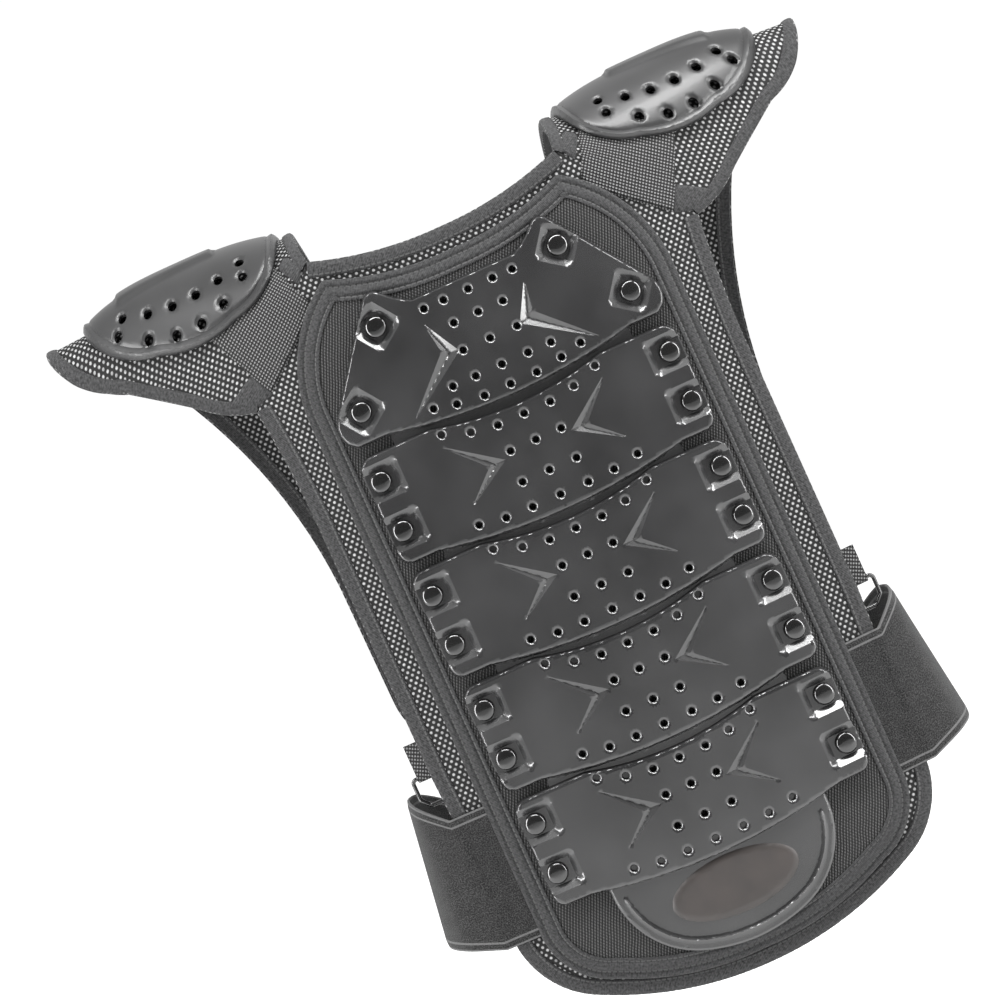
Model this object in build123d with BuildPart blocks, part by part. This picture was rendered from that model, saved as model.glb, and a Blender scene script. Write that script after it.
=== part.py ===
from build123d import *
from math import asin, cos, hypot, sin, sqrt
import os

# A motorcycle body-armour vest, standing as it is worn: the wearer faces +Y and +Z is up, so the
# wearer's right side is +X. The origin is midway between the back and the chest, level with the
# shoulder seams, where the wearer's shoulders carry the weight. Outlines are drawn as seen square
# to the back, in (distance from the spine, height above the hem).

os.makedirs("parts", exist_ok=True)

# --- Driving dimensions, in millimetres and degrees ---
SHOULDER_HEIGHT = 462        # hem of the back up to the shoulder seams
TORSO_DEPTH = 140            # between the inner faces of the back and the chest
CURVE_RADIUS = 500           # how the back and the chest bow across the body
MESH = 6                     # spacer mesh thickness
TAPE_PROUD = 0.5             # how far the edge tape wraps past each face of the mesh
TAPE_WIDTH = 9
PIPING_WIDTH = 8
PAD = 7                      # padded centre panel, on top of the mesh
COVER_SKIN = 1.5             # knit cover over its foam
GAP = 0.3                    # between pieces that only touch
SHEET = 2.2                  # plate wall
TONGUE = 1.5                 # plate wall where it runs under the next plate
PLATE_RISE = 6               # plate's outer face above the centre panel
PLATE_PITCH = 70
SPINE_HEIGHTS = [353.5, 283.5, 213.5, 143.5]     # lines where the back flexes
SEGMENTS = 5
SEGMENT_GAP = 0.5
SEAM_GAP = 0.4               # back panel to shoulder wing, each side of the seam
CHEST_GAP = 1.5              # chest to shoulder wing, each side of the fold
RIVET_HEAD = 12.5
RIVET_SHANK = 4.0
RIVET_WASHER = 10
RIVET_WASHER_SHEET = 0.8
RIVET_RIM = 1.2
RIVET_CROWN = 4.0
VENT = 3.8                   # vent hole in a back plate
CAP_VENT = 5.0
CAP_WALL = 2.5
STRAP_WIDTH = 80
STRAP = 2.5
WEBBING = 2.0
REACH = 260                  # half width of cutting windows, clear of every outline

BEHIND, AHEAD = -1, 1        # the back of the vest and its chest, along Y
ON_MESH = MESH + GAP
PAD_TOP = MESH + PAD
PLATE_FOOT = PAD_TOP + GAP
PLATE_TOP = PLATE_FOOT + PLATE_RISE - GAP

# Plane of the outlines: x across the body, y the height above the hem, normal to the rear.
ELEVATION = Plane(origin=(0, 0, -SHOULDER_HEIGHT), x_dir=(1, 0, 0), z_dir=(0, -1, 0))


# --- Outlines ---
def mirrored_outline(draw_right_half):
    """A face whose right half is drawn from the spine line and back to it."""
    with BuildSketch() as outline:
        with BuildLine():
            draw_right_half()
            mirror(about=Plane.YZ)
        make_face()
    return outline.sketch


def rectangle(low_x, high_x, low, high):
    """A rectangle between two distances across the body and two heights."""
    with BuildSketch() as area:
        with Locations(((low_x + high_x) / 2, (low + high) / 2)):
            Rectangle(high_x - low_x, high - low)
    return area.sketch


def polygon(*points):
    with BuildSketch() as area:
        Polygon(*points, align=None)
    return area.sketch


def common(first, second):
    with BuildSketch() as area:
        add(first)
        add(second, mode=Mode.INTERSECT)
    return area.sketch


def without(first, *others):
    with BuildSketch() as area:
        add(first)
        for other in others:
            add(other, mode=Mode.SUBTRACT)
    return area.sketch


def grown(outline, amount):
    with BuildSketch() as area:
        offset(outline, amount=amount)
    return area.sketch


def both_sides(outline):
    with BuildSketch() as area:
        add(outline)
        mirror(outline, about=Plane.YZ)
    return area.sketch


# Neck and wing edges shared by the back and the chest.
NECK_CORNER = (76, 465)
NECK_TOP = (81, 512)
WING_TOP = (240, 512)
WING_TIP = (240, 487)
ARMPIT = (137, 400)
FRONT_FOLD_END = (187, 443)


def back_half():
    ThreePointArc((0, 452), (40, 455.2), NECK_CORNER)
    Polyline(NECK_CORNER, NECK_TOP, WING_TOP, WING_TIP)
    ThreePointArc(WING_TIP, (228, 461), (205, 444))
    Line((205, 444), (168, 417))
    ThreePointArc((168, 417), (153, 406), ARMPIT)
    ThreePointArc(ARMPIT, (133.2, 360), (132, 320))
    Polyline((132, 320), (132, 170), (127, 62))
    ThreePointArc((127, 62), (117, 38), (95, 21))
    ThreePointArc((95, 21), (50, 5.5), (0, 0))


def chest_half():
    ThreePointArc((0, 402), (48, 419), NECK_CORNER)
    Polyline(NECK_CORNER, NECK_TOP, WING_TOP, WING_TIP)
    ThreePointArc(WING_TIP, (226, 460), FRONT_FOLD_END)
    ThreePointArc(FRONT_FOLD_END, (156, 375), (141, 290))
    Line((141, 290), (140, 215))
    ThreePointArc((140, 215), (127, 182), (92, 168))
    Line((92, 168), (0, 168))


def cover_half():
    ThreePointArc((0, 438), (40, 441.5), (72, 452))
    ThreePointArc((72, 452), (100, 424), (112, 385))
    Line((112, 385), (112, 64))
    ThreePointArc((112, 64), (103, 40), (82, 26))
    ThreePointArc((82, 26), (42, 12.5), (0, 9))


def chest_cover_half():
    ThreePointArc((0, 388), (40, 394), (72, 414))
    ThreePointArc((72, 414), (96, 398), (104, 372))
    Line((104, 372), (104, 222))
    ThreePointArc((104, 222), (94, 196), (66, 184))
    Line((66, 184), (0, 184))


def plate_half():
    """A back plate, from its own centre height."""
    ThreePointArc((0, 24), (28, 26), (52, 31))
    Polyline((52, 31), (90, 31), (97, 24), (97, -28), (92, -34), (75, -34))
    ThreePointArc((75, -34), (40, -39.6), (0, -42))


def top_plate_half():
    Polyline((0, 421), (32, 421), (50, 434), (56, 433), (98, 376), (98, 362), (92, 357), (75, 357))
    ThreePointArc((75, 357), (40, 351), (0, 348.5))


def tail_half():
    Line((0, 92), (66, 92))
    Line((66, 92), (66, 72))
    ThreePointArc((66, 72), (54, 38), (30, 22))
    ThreePointArc((30, 22), (15, 18.3), (0, 17))


def cap_half_outline():
    """The shoulder cap seen from behind: open above, down to its rim."""
    with BuildSketch() as outline:
        with BuildLine():
            ThreePointArc((87, 494), (100, 466), (125, 453))
            ThreePointArc((125, 453), (150, 448), (175, 453))
            ThreePointArc((175, 453), (202, 466), (213, 486))
            Polyline((213, 486), (213, 515), (87, 515), (87, 494))
        make_face()
    return outline.sketch


BACK = mirrored_outline(back_half)
CHEST = mirrored_outline(chest_half)
COVER = mirrored_outline(cover_half)
CHEST_COVER = mirrored_outline(chest_cover_half)
BODY_PLATE = mirrored_outline(plate_half)
TOP_PLATE = mirrored_outline(top_plate_half)
TAIL = mirrored_outline(tail_half)
CAP = cap_half_outline()
BACK_MESH = grown(BACK, -TAPE_WIDTH)
CHEST_MESH = grown(CHEST, -TAPE_WIDTH)
COVER_INSIDE = grown(COVER, -PIPING_WIDTH)
CHEST_COVER_INSIDE = grown(CHEST_COVER, -PIPING_WIDTH)
FOAM_INSET = PIPING_WIDTH + 4


# --- Solids that follow the body ---
def curve_axis(side):
    """Y of the axis that the back or the chest bows about."""
    return -side * (CURVE_RADIUS - TORSO_DEPTH / 2)


def surface_plane(side, x, height, above):
    """A plane lying on the bowed face, its normal away from the wearer."""
    radius = CURVE_RADIUS + above
    turn = asin(x / radius)
    origin = (x, curve_axis(side) + side * radius * cos(turn), height - SHOULDER_HEIGHT)
    return Plane(origin=origin, x_dir=(cos(turn), -side * sin(turn), 0), z_dir=(sin(turn), side * cos(turn), 0))


def layer(outline, side, inner, outer):
    """A bowed sheet between two distances outside the inner face, cut to an outline."""
    with BuildPart() as sheet:
        with BuildSketch(Plane.XY.offset(-SHOULDER_HEIGHT - 40)):
            with Locations((0, curve_axis(side))):
                Circle(CURVE_RADIUS + outer)
                Circle(CURVE_RADIUS + inner, mode=Mode.SUBTRACT)
            with Locations((0, side * REACH / 2)):
                Rectangle(2 * REACH, REACH, mode=Mode.INTERSECT)
        extrude(amount=SHOULDER_HEIGHT + 120)
        with BuildSketch(ELEVATION):
            add(outline)
        extrude(amount=-side * REACH, mode=Mode.INTERSECT)
    return sheet.part


def save(part, name):
    part.label = name
    export_step(part, f"parts/{name}.step")


def save_pair(right_part, name):
    """The wearer's right piece, and its mirror image on the left."""
    save(right_part, f"right_{name}")
    with BuildPart() as twin:
        mirror(right_part, about=Plane.YZ)
    save(twin.part, f"left_{name}")


# --- Rivets: a domed cap, a shank and a flat back washer, along +Z from the sheet they hold ---
def rivet_shape(clearance, depth):
    """A rivet whose washer sits depth below the face under its cap."""
    head = RIVET_HEAD / 2
    shank = RIVET_SHANK / 2 + clearance
    washer = RIVET_WASHER / 2 + clearance
    washer_low = -depth - RIVET_WASHER_SHEET - clearance
    dome_height = RIVET_CROWN - RIVET_RIM
    dome_radius = (head ** 2 + dome_height ** 2) / (2 * dome_height)
    dome_fall = dome_radius - sqrt(dome_radius ** 2 - (head / 2) ** 2)
    with BuildPart() as rivet:
        with BuildSketch(Plane.XZ):
            with BuildLine():
                Polyline((0, washer_low), (washer, washer_low), (washer, clearance - depth),
                         (shank, clearance - depth), (shank, 0), (head, 0), (head, RIVET_RIM))
                ThreePointArc((head, RIVET_RIM), (head / 2, RIVET_CROWN - dome_fall), (0, RIVET_CROWN))
                Line((0, RIVET_CROWN), (0, washer_low))
            make_face()
        revolve(axis=Axis.Z)
    return rivet.part


RIVET_DEPTH = 5.6            # plate seat, cover and part of the pad


def rivet_group(spots, side, above, clearance=0.0):
    rivet = rivet_shape(clearance, RIVET_DEPTH)
    with BuildPart() as group:
        with Locations(*[surface_plane(side, x, height, above) for x, height in spots]):
            add(rivet)
    return group.part


# --- Back plates ---
SEAT_TOP = PLATE_FOOT + SHEET
UNDERSIDE = PLATE_TOP - SHEET
SEAT_X = (77, 105)           # a rivet seat is open to the plate's outer edge
SEAT_HALF_HEIGHT = 8
RIVET_X = 88.5
RIVET_RISE = 15
TOP_RIVETS = [(55.5, 415), (82.5, 375)]
TONGUE_HALF = 73
TONGUE_DROP = 52             # below the plate's centre

# Vent holes as (x, height above the plate's centre) on one side of the spine.
VENTS = [(0, 17), (16, 17), (31.5, 19.5), (47, 25), (0, 1), (15.5, 1), (0, -17.5), (16.5, -17.5),
         (0, -32.5), (17, -32.5), (33, -32), (48.5, -29.5)]
TOP_VENTS = [(0, 413), (15, 413), (27, 413), (0, 399), (15, 399), (0, 383), (16.5, 383),
             (0, 367), (16, 367), (30, 367), (0, 355), (16, 355), (32, 357), (45, 360)]
# Boomerang groove: its outer point, its two tips and the notch between them.
CHEVRON = [(22, -3), (50, 21), (38, -2), (51, -20)]
TOP_CHEVRON = [(20, 384), (28, 404), (33, 385), (57, 357)]
CHEVRON_DEPTH = 1.0


def mirrored_points(points):
    return points + [(-x, height) for x, height in points if x]


def raised(points, centre):
    return [(x, height + centre) for x, height in points]


def vent_holes(spots, diameter):
    """Vents as seen from behind, in one sketch."""
    with BuildSketch() as holes:
        with Locations(*mirrored_points(spots)):
            Circle(diameter / 2)
    return holes.sketch


def plate_solid(outline, tongue, seats, opening, vents, chevron, side=BEHIND):
    """A moulded plate: raised sheet, turned-down edge, rivet seats, vents and boomerang grooves."""
    hollow = without(grown(outline, -SHEET), grown(seats, SHEET))
    with BuildSketch() as hollow_and_mouths:
        add(hollow)
        add(opening)
    with BuildSketch() as footprint:
        add(outline)
        if tongue:
            add(tongue)
    with BuildPart() as plate:
        add(layer(footprint.sketch, side, PLATE_FOOT, PLATE_TOP))
        add(layer(hollow_and_mouths.sketch, side, PLATE_FOOT - 1, UNDERSIDE), mode=Mode.SUBTRACT)
        add(layer(seats, side, SEAT_TOP, PLATE_TOP + 1), mode=Mode.SUBTRACT)
        if tongue:
            add(layer(without(tongue, outline), side, PLATE_FOOT + TONGUE, PLATE_TOP + 1), mode=Mode.SUBTRACT)
        add(layer(vents, side, PLATE_FOOT - 1, PLATE_TOP + 1), mode=Mode.SUBTRACT)
        add(layer(both_sides(polygon(*chevron)), side, PLATE_TOP - CHEVRON_DEPTH, PLATE_TOP + 1), mode=Mode.SUBTRACT)
    return plate.part


def body_plate(centre, last):
    """Plates two to five, alike except that the last has the tail below it and no tongue."""
    seat_boxes = [rectangle(*SEAT_X, centre + rise - SEAT_HALF_HEIGHT, centre + rise + SEAT_HALF_HEIGHT)
                  for rise in (RIVET_RISE, -RIVET_RISE)]
    with BuildSketch() as seats:
        for box in seat_boxes:
            add(both_sides(box))
    with BuildSketch() as outline:
        with Locations((0, centre)):
            add(BODY_PLATE)
    mouth = rectangle(-TONGUE_HALF - 2, TONGUE_HALF + 2, centre, centre + 40)
    if last:
        tongue = None
        with BuildSketch() as opening:
            add(mouth)
            add(rectangle(-72, 72, centre - 60, centre))
        opening = opening.sketch
    else:
        tongue = rectangle(-TONGUE_HALF, TONGUE_HALF, centre - TONGUE_DROP, centre - 30)
        opening = mouth
    return plate_solid(outline.sketch, tongue, seats.sketch, opening,
                       vent_holes(raised(VENTS, centre), VENT), raised(CHEVRON, centre))


def top_plate():
    """The first plate, with a notch at the neck and its rivets on the slope of its shoulders."""
    with BuildSketch() as seats:
        for x, height in mirrored_points(TOP_RIVETS):
            with Locations((x, height)):
                Rectangle(17, 17, rotation=54 if x > 0 else -54)
    tongue = rectangle(-TONGUE_HALF, TONGUE_HALF, 338, 360)
    inside = rectangle(-5, 5, 380, 385)
    return plate_solid(TOP_PLATE, tongue, seats.sketch, inside, vent_holes(TOP_VENTS, VENT), TOP_CHEVRON)


# --- Back, in five lengths that flex at the lines between the plates ---
YOKE_SIDE = polygon((0, 300), (160, 300), (160, 375.5 - SEAM_GAP), (76 - SEAM_GAP, 465 - SEAM_GAP),
                    (60, 482), (0, 482))
YOKE = both_sides(YOKE_SIDE)
WING_BACK = polygon((76 + SEAM_GAP, 465 + SEAM_GAP), (160 + SEAM_GAP, 375.5 + SEAM_GAP), (REACH, 375.5),
                    (REACH, 520), (60, 520), (60, 482))
WEBBING_PATCH = polygon((146, 452), (98, 476), (82, 440), (125, 406))


def segment_limits(number):
    """Heights between which a length of the back lies, each end half a gap short."""
    top = 500 if number == 1 else SPINE_HEIGHTS[number - 2] - SEGMENT_GAP / 2
    bottom = -20 if number == SEGMENTS else SPINE_HEIGHTS[number - 1] + SEGMENT_GAP / 2
    return bottom, top


def plate_centre(number):
    return 320 - PLATE_PITCH * (number - 2)


def rivet_spots(number):
    if number == 1:
        return mirrored_points(TOP_RIVETS)
    return mirrored_points([(RIVET_X, plate_centre(number) + rise) for rise in (RIVET_RISE, -RIVET_RISE)])


def foam_area(number, margin):
    """The foam's outline in one length of the back, or its pocket with a margin round it."""
    low, high = segment_limits(number)
    strip = rectangle(-REACH, REACH, low + COVER_SKIN - margin, high - COVER_SKIN + margin)
    return common(grown(COVER, margin - FOAM_INSET), strip)


def make_segment(number):
    strip = rectangle(-REACH, REACH, *segment_limits(number))
    if number == 1:
        strip = common(strip, YOKE)
    spots = rivet_spots(number)
    clearance = rivet_group(spots, BEHIND, SEAT_TOP, clearance=0.1)

    with BuildPart() as mesh_panel:
        add(layer(common(BACK_MESH, strip), BEHIND, 0, MESH))
    save(mesh_panel.part, f"mesh_panel_{number}")

    with BuildPart() as edge_tapes:
        add(layer(common(without(BACK, BACK_MESH), strip), BEHIND, -TAPE_PROUD, MESH + TAPE_PROUD))
        add(layer(common(without(COVER, COVER_INSIDE), strip), BEHIND, ON_MESH, PAD_TOP))
    save(edge_tapes.part, f"edge_tapes_{number}")

    with BuildPart() as foam_core:
        add(layer(foam_area(number, 0), BEHIND, ON_MESH, PAD_TOP - COVER_SKIN - GAP))
        add(clearance, mode=Mode.SUBTRACT)
    save(foam_core.part, f"foam_core_{number}")

    with BuildPart() as centre_cover:
        add(layer(common(grown(COVER, -PIPING_WIDTH - GAP), strip), BEHIND, ON_MESH, PAD_TOP))
        add(layer(foam_area(number, GAP), BEHIND, ON_MESH - 1, PAD_TOP - COVER_SKIN), mode=Mode.SUBTRACT)
        add(clearance, mode=Mode.SUBTRACT)
    save(centre_cover.part, f"centre_cover_{number}")

    with BuildPart() as back_plate:
        add(top_plate() if number == 1 else body_plate(plate_centre(number), number == SEGMENTS))
        add(clearance, mode=Mode.SUBTRACT)
    save(back_plate.part, f"back_plate_{number}")

    save(rivet_group(spots, BEHIND, SEAT_TOP), f"plate_rivets_{number}")


for segment in range(1, SEGMENTS + 1):
    make_segment(segment)

# Tail plate, tucked under the last plate, with an oval badge on it.
TAIL_SHEET = 1.8
BADGE = 1.2
with BuildPart() as tail_plate:
    add(layer(TAIL, BEHIND, PLATE_FOOT, PLATE_FOOT + TAIL_SHEET))
save(tail_plate.part, "tail_plate")

with BuildSketch() as badge_outline:
    with Locations((0, 50)):
        Ellipse(38, 17)
with BuildPart() as tail_badge:
    add(layer(badge_outline.sketch, BEHIND, PLATE_FOOT + TAIL_SHEET, PLATE_FOOT + TAIL_SHEET + BADGE))
save(tail_badge.part, "tail_badge")

# The webbing's lower end, on the back panel beside the centre panel.
with BuildPart() as yoke_webbing:
    lower_end = common(common(WEBBING_PATCH, YOKE), without(BACK_MESH, grown(COVER, GAP)))
    add(layer(both_sides(lower_end), BEHIND, ON_MESH, ON_MESH + WEBBING))
save(yoke_webbing.part, "yoke_webbing")


# --- Shoulder wings: the vest arches over each shoulder from the back to the chest ---
WING_STATIONS = [72, 95, 118, 140, 162, 184, 206, 226, 244]
WING_FOOT = 385              # below every wing edge


def bow(x):
    """How far the bowed back has come forward at a distance from the spine."""
    return CURVE_RADIUS - sqrt(CURVE_RADIUS ** 2 - x ** 2)


def spring_height(x):
    """Height at which the arch over the shoulder starts to turn in from the upright faces."""
    reach = (x - 140) / (64 if x < 140 else 100)
    return 440 + 24 * reach ** 2


def wing_top(x):
    return 489 - 5 * ((x - 76) / 164) ** 2


def cap_top(x):
    """The cap's crown: flat along the shoulder and lower at its two ends."""
    end = (x - 150) / 62
    return 500 - (7 if x < 150 else 10) * abs(end) ** 3


def arch(out_depth, out_top, in_depth, in_top, stations):
    """A sheet over the shoulder between two arches, each set by its depth past the inner face."""
    with BuildPart() as solid:
        for x in stations:
            base = spring_height(x)
            inner = TORSO_DEPTH / 2 - bow(x)
            section = Plane(origin=(x, 0, -SHOULDER_HEIGHT), x_dir=(0, 1, 0), z_dir=(1, 0, 0))
            with BuildSketch(section):
                with BuildLine():
                    for depth, top in ((inner + out_depth, out_top(x)), (inner + in_depth, in_top(x))):
                        Line((-depth, WING_FOOT), (-depth, base))
                        EllipticalCenterArc((0, base), depth, top - base, start_angle=0, arc_size=180)
                        Line((depth, base), (depth, WING_FOOT))
                    Line((inner + in_depth, WING_FOOT), (inner + out_depth, WING_FOOT))
                    Line((-inner - in_depth, WING_FOOT), (-inner - out_depth, WING_FOOT))
                make_face()
        loft()
    return solid.part


def wing_layer(back_area, front_area, inner, outer):
    """A layer of the wing, as distances outside the mesh's inner face."""
    with BuildPart() as solid:
        add(arch(outer, lambda x: wing_top(x) - MESH + outer, inner, lambda x: wing_top(x) - MESH + inner,
                 WING_STATIONS))
        add(two_sided_prism(back_area, front_area), mode=Mode.INTERSECT)
    return solid.part


def two_sided_prism(back_area, front_area):
    """Everything behind the middle inside one outline and ahead of it inside another."""
    with BuildPart() as prism:
        with BuildSketch(ELEVATION):
            add(back_area)
        extrude(amount=REACH)
        with BuildSketch(ELEVATION):
            add(front_area)
        extrude(amount=-REACH)
    return prism.part


def fold_height(x):
    """The fold line between the chest and the wings, seen from the front."""
    return 465 - (x - 76) * (465 - 443) / (187 - 76)


WING_FRONT = polygon((60, fold_height(60) + CHEST_GAP), (REACH, fold_height(REACH) + CHEST_GAP), (REACH, 520),
                     (60, 520))
CHEST_SIDE = polygon((0, 150), (REACH, 150), (REACH, fold_height(REACH) - CHEST_GAP),
                     (60, fold_height(60) - CHEST_GAP), (0, fold_height(60) - CHEST_GAP))
CHEST_WINDOW = both_sides(CHEST_SIDE)

with BuildPart() as wing_mesh:
    add(wing_layer(common(BACK_MESH, WING_BACK), common(CHEST_MESH, WING_FRONT), 0, MESH))
save_pair(wing_mesh.part, "wing_mesh")

with BuildPart() as wing_tape:
    add(wing_layer(common(without(BACK, BACK_MESH), WING_BACK), common(without(CHEST, CHEST_MESH), WING_FRONT),
                   -TAPE_PROUD, MESH + TAPE_PROUD))
save_pair(wing_tape.part, "wing_tape")

CAP_STATIONS = [84, 106, 128, 150, 172, 194, 216]
FOAM_STATIONS = [94, 112, 131, 150, 169, 188, 206]
CAP_STAND_OFF = MESH + 3     # the cap's inner face where the arch springs
with BuildPart() as shoulder_cap:
    add(arch(CAP_STAND_OFF + CAP_WALL, cap_top, CAP_STAND_OFF, lambda x: cap_top(x) - CAP_WALL, CAP_STATIONS))
    add(two_sided_prism(CAP, CAP), mode=Mode.INTERSECT)
    with BuildSketch(ELEVATION):
        lower_row = [(113 + 16 * n, 458 + 15 * (2 * n / 5 - 1) ** 2) for n in range(6)]
        upper_row = [(97 + 15 * n, 475 + 13 * (2 * n / 7 - 1) ** 2) for n in range(8)]
        with Locations(*lower_row, *upper_row[1:-1]):
            Circle(CAP_VENT / 2)
    extrude(amount=REACH, both=True, mode=Mode.SUBTRACT)
save_pair(shoulder_cap.part, "shoulder_cap")

with BuildPart() as shoulder_foam:
    add(arch(CAP_STAND_OFF - GAP, lambda x: cap_top(x) - CAP_WALL - GAP, ON_MESH, lambda x: wing_top(x) + GAP,
             FOAM_STATIONS))
    add(two_sided_prism(grown(CAP, -6), grown(CAP, -6)), mode=Mode.INTERSECT)
save_pair(shoulder_foam.part, "shoulder_foam")

WEBBING_ON_WING = without(WEBBING_PATCH, grown(CAP, GAP))
with BuildPart() as wing_webbing:
    add(wing_layer(common(common(WEBBING_ON_WING, BACK_MESH), WING_BACK),
                   common(common(WEBBING_ON_WING, CHEST_MESH), WING_FRONT), ON_MESH, ON_MESH + WEBBING))
save_pair(wing_webbing.part, "wing_webbing")

# --- Chest panel, hung from the front of the wings ---
CHEST_PLATES = {"upper": (348, 40), "lower": (256, 44)}
CHEST_PLATE_HALF = 80
CHEST_PLATE = 3.2
CHEST_RIVET_X = 68

with BuildPart() as chest_mesh:
    add(layer(common(CHEST_MESH, CHEST_WINDOW), AHEAD, 0, MESH))
save(chest_mesh.part, "chest_mesh")

with BuildPart() as chest_tape:
    add(layer(common(without(CHEST, CHEST_MESH), CHEST_WINDOW), AHEAD, -TAPE_PROUD, MESH + TAPE_PROUD))
    add(layer(without(CHEST_COVER, CHEST_COVER_INSIDE), AHEAD, ON_MESH, PAD_TOP))
save(chest_tape.part, "chest_tape")

chest_spots = []
for centre, half_height in CHEST_PLATES.values():
    for rise in (half_height - 12, 12 - half_height):
        chest_spots += mirrored_points([(CHEST_RIVET_X, centre + rise)])
chest_clearance = rivet_group(chest_spots, AHEAD, PLATE_FOOT + CHEST_PLATE, clearance=0.1)

with BuildPart() as chest_foam:
    add(layer(grown(CHEST_COVER, -FOAM_INSET), AHEAD, ON_MESH, PAD_TOP - COVER_SKIN - GAP))
    add(chest_clearance, mode=Mode.SUBTRACT)
save(chest_foam.part, "chest_foam")

with BuildPart() as chest_cover:
    add(layer(grown(CHEST_COVER, -PIPING_WIDTH - GAP), AHEAD, ON_MESH, PAD_TOP))
    add(layer(grown(CHEST_COVER, GAP - FOAM_INSET), AHEAD, ON_MESH - 1, PAD_TOP - COVER_SKIN), mode=Mode.SUBTRACT)
    add(chest_clearance, mode=Mode.SUBTRACT)
save(chest_cover.part, "chest_cover")

for place, (centre, half_height) in CHEST_PLATES.items():
    with BuildSketch() as plate_outline:
        with Locations((0, centre)):
            RectangleRounded(2 * CHEST_PLATE_HALF, 2 * half_height, 10)
    vents = [(x, centre + rise) for x in (0, 16, 32) for rise in (-22, 0, 22)]
    with BuildPart() as chest_plate:
        add(layer(without(plate_outline.sketch, vent_holes(vents, VENT)), AHEAD, PLATE_FOOT,
                  PLATE_FOOT + CHEST_PLATE))
        add(chest_clearance, mode=Mode.SUBTRACT)
    save(chest_plate.part, f"chest_plate_{place}")

save(rivet_group(chest_spots, AHEAD, PLATE_FOOT + CHEST_PLATE), "chest_rivets")

# --- Waist straps: sewn under the centre panel, round the sides and closed on the stomach ---
STRAP_LOW = 65
LAP = 40                     # how far each strap's end passes the middle
STRAP_ROOT_X = 133
STRAP_ON_MESH = MESH + TAPE_PROUD + GAP
with BuildPart() as strap_anchors:
    anchor = rectangle(112 + GAP, STRAP_ROOT_X - 1, STRAP_LOW, STRAP_LOW + STRAP_WIDTH)
    add(layer(both_sides(anchor), BEHIND, STRAP_ON_MESH, STRAP_ON_MESH + STRAP))
save(strap_anchors.part, "strap_anchors")


def strap_band(flare, front, thickness):
    """Plan of a strap as a closed band; flare pushes its side out and front sets its depth."""
    inner = [(STRAP_ROOT_X, -59.2), (146 + flare / 2, -43), (150 + flare, -10), (150 + flare, 26),
             (139 + flare / 2, 62), (112, front - 10), (86, front - 1.6), (62, front)]
    outer = []
    for index, (x, y) in enumerate(inner[:-1]):
        before = inner[max(index - 1, 0)]
        after = inner[index + 1]
        run = hypot(after[0] - before[0], after[1] - before[1])
        outer.append((x + thickness * (after[1] - before[1]) / run, y - thickness * (after[0] - before[0]) / run))
    outer.append((62, front + thickness))
    Spline(*inner)
    Polyline(inner[-1], (-LAP, front), (-LAP, front + thickness), outer[-1])
    Spline(*outer)
    Line(outer[0], inner[0])


STRAP_OUTLINE = polygon((-60, STRAP_LOW), (STRAP_ROOT_X, STRAP_LOW), (170, 80), (170, 162), (150, 160),
                        (STRAP_ROOT_X, STRAP_LOW + STRAP_WIDTH), (-60, STRAP_LOW + STRAP_WIDTH))


def strap(front, thickness, area=STRAP_OUTLINE):
    """The right strap, wider round at its lower edge than at its upper."""
    with BuildPart() as band:
        for height, flare in ((STRAP_LOW - 5, 15), (STRAP_LOW + STRAP_WIDTH + 25, 0)):
            with BuildSketch(Plane.XY.offset(height - SHOULDER_HEIGHT)):
                with BuildLine():
                    strap_band(flare, front, thickness)
                make_face()
        loft(ruled=True)
        with BuildSketch(ELEVATION):
            add(area)
        extrude(amount=REACH, both=True, mode=Mode.INTERSECT)
    return band.part


FRONT_INNER = 90             # inner face of the left strap's end, ahead of the middle
HOOK = 1.2
FRONT_OUTER = FRONT_INNER + STRAP + HOOK + 2 * GAP

with BuildPart() as right_strap:
    add(strap(FRONT_OUTER, STRAP))
save(right_strap.part, "right_strap")

with BuildPart() as left_strap:
    mirror(strap(FRONT_INNER, STRAP), about=Plane.YZ)
save(left_strap.part, "left_strap")

with BuildPart() as hook_patch:
    with Locations((-8, FRONT_OUTER - HOOK / 2 - 0.25, STRAP_LOW + STRAP_WIDTH / 2 - SHOULDER_HEIGHT)):
        Box(56, HOOK, STRAP_WIDTH - 14)
save(hook_patch.part, "hook_patch")

# --- Ring tabs inside the panel's side edges, just above the straps, and their D-rings ---
TAB_X = 134
TAB_WIDTH = 12
TAB_LENGTH = 20
TAB_FOLD = 173
RING_WIRE = 2.4
RING_CLEARANCE = 0.4
FOLD_RADIUS = 2.6
RING_DEPTH = -TAPE_PROUD - GAP - FOLD_RADIUS     # the bar's centre, inside the mesh's inner face
BAR = surface_plane(BEHIND, TAB_X, TAB_FOLD, RING_DEPTH)
ACROSS_BAR = Plane(origin=BAR.origin, x_dir=(0, 0, 1), z_dir=BAR.x_dir)
with BuildPart() as right_tab:
    with BuildSketch(ACROSS_BAR):
        Circle(FOLD_RADIUS)
        with Locations((TAB_LENGTH / 2, SHEET / 2)):
            Rectangle(TAB_LENGTH, SHEET - 2 * GAP)
        Circle(RING_WIRE / 2 + RING_CLEARANCE, mode=Mode.SUBTRACT)
    extrude(amount=TAB_WIDTH / 2, both=True)
save_pair(right_tab.part, "ring_tab")

with BuildPart() as right_ring:
    with BuildLine(BAR) as ring_path:
        FilletPolyline((-10, 0), (-10, -12), (-5, -17), (5, -17), (10, -12), (10, 0), (-10, 0), radius=2.5, close=True)
    with BuildSketch(ACROSS_BAR):
        Circle(RING_WIRE / 2)
    sweep(path=ring_path.line)
save_pair(right_ring.part, "ring")
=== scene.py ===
from math import asin, cos, pi, radians, sin, sqrt

import bmesh
import bpy
import numpy as np
from mathutils import Matrix, Vector
from mathutils.geometry import delaunay_2d_cdt


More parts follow.
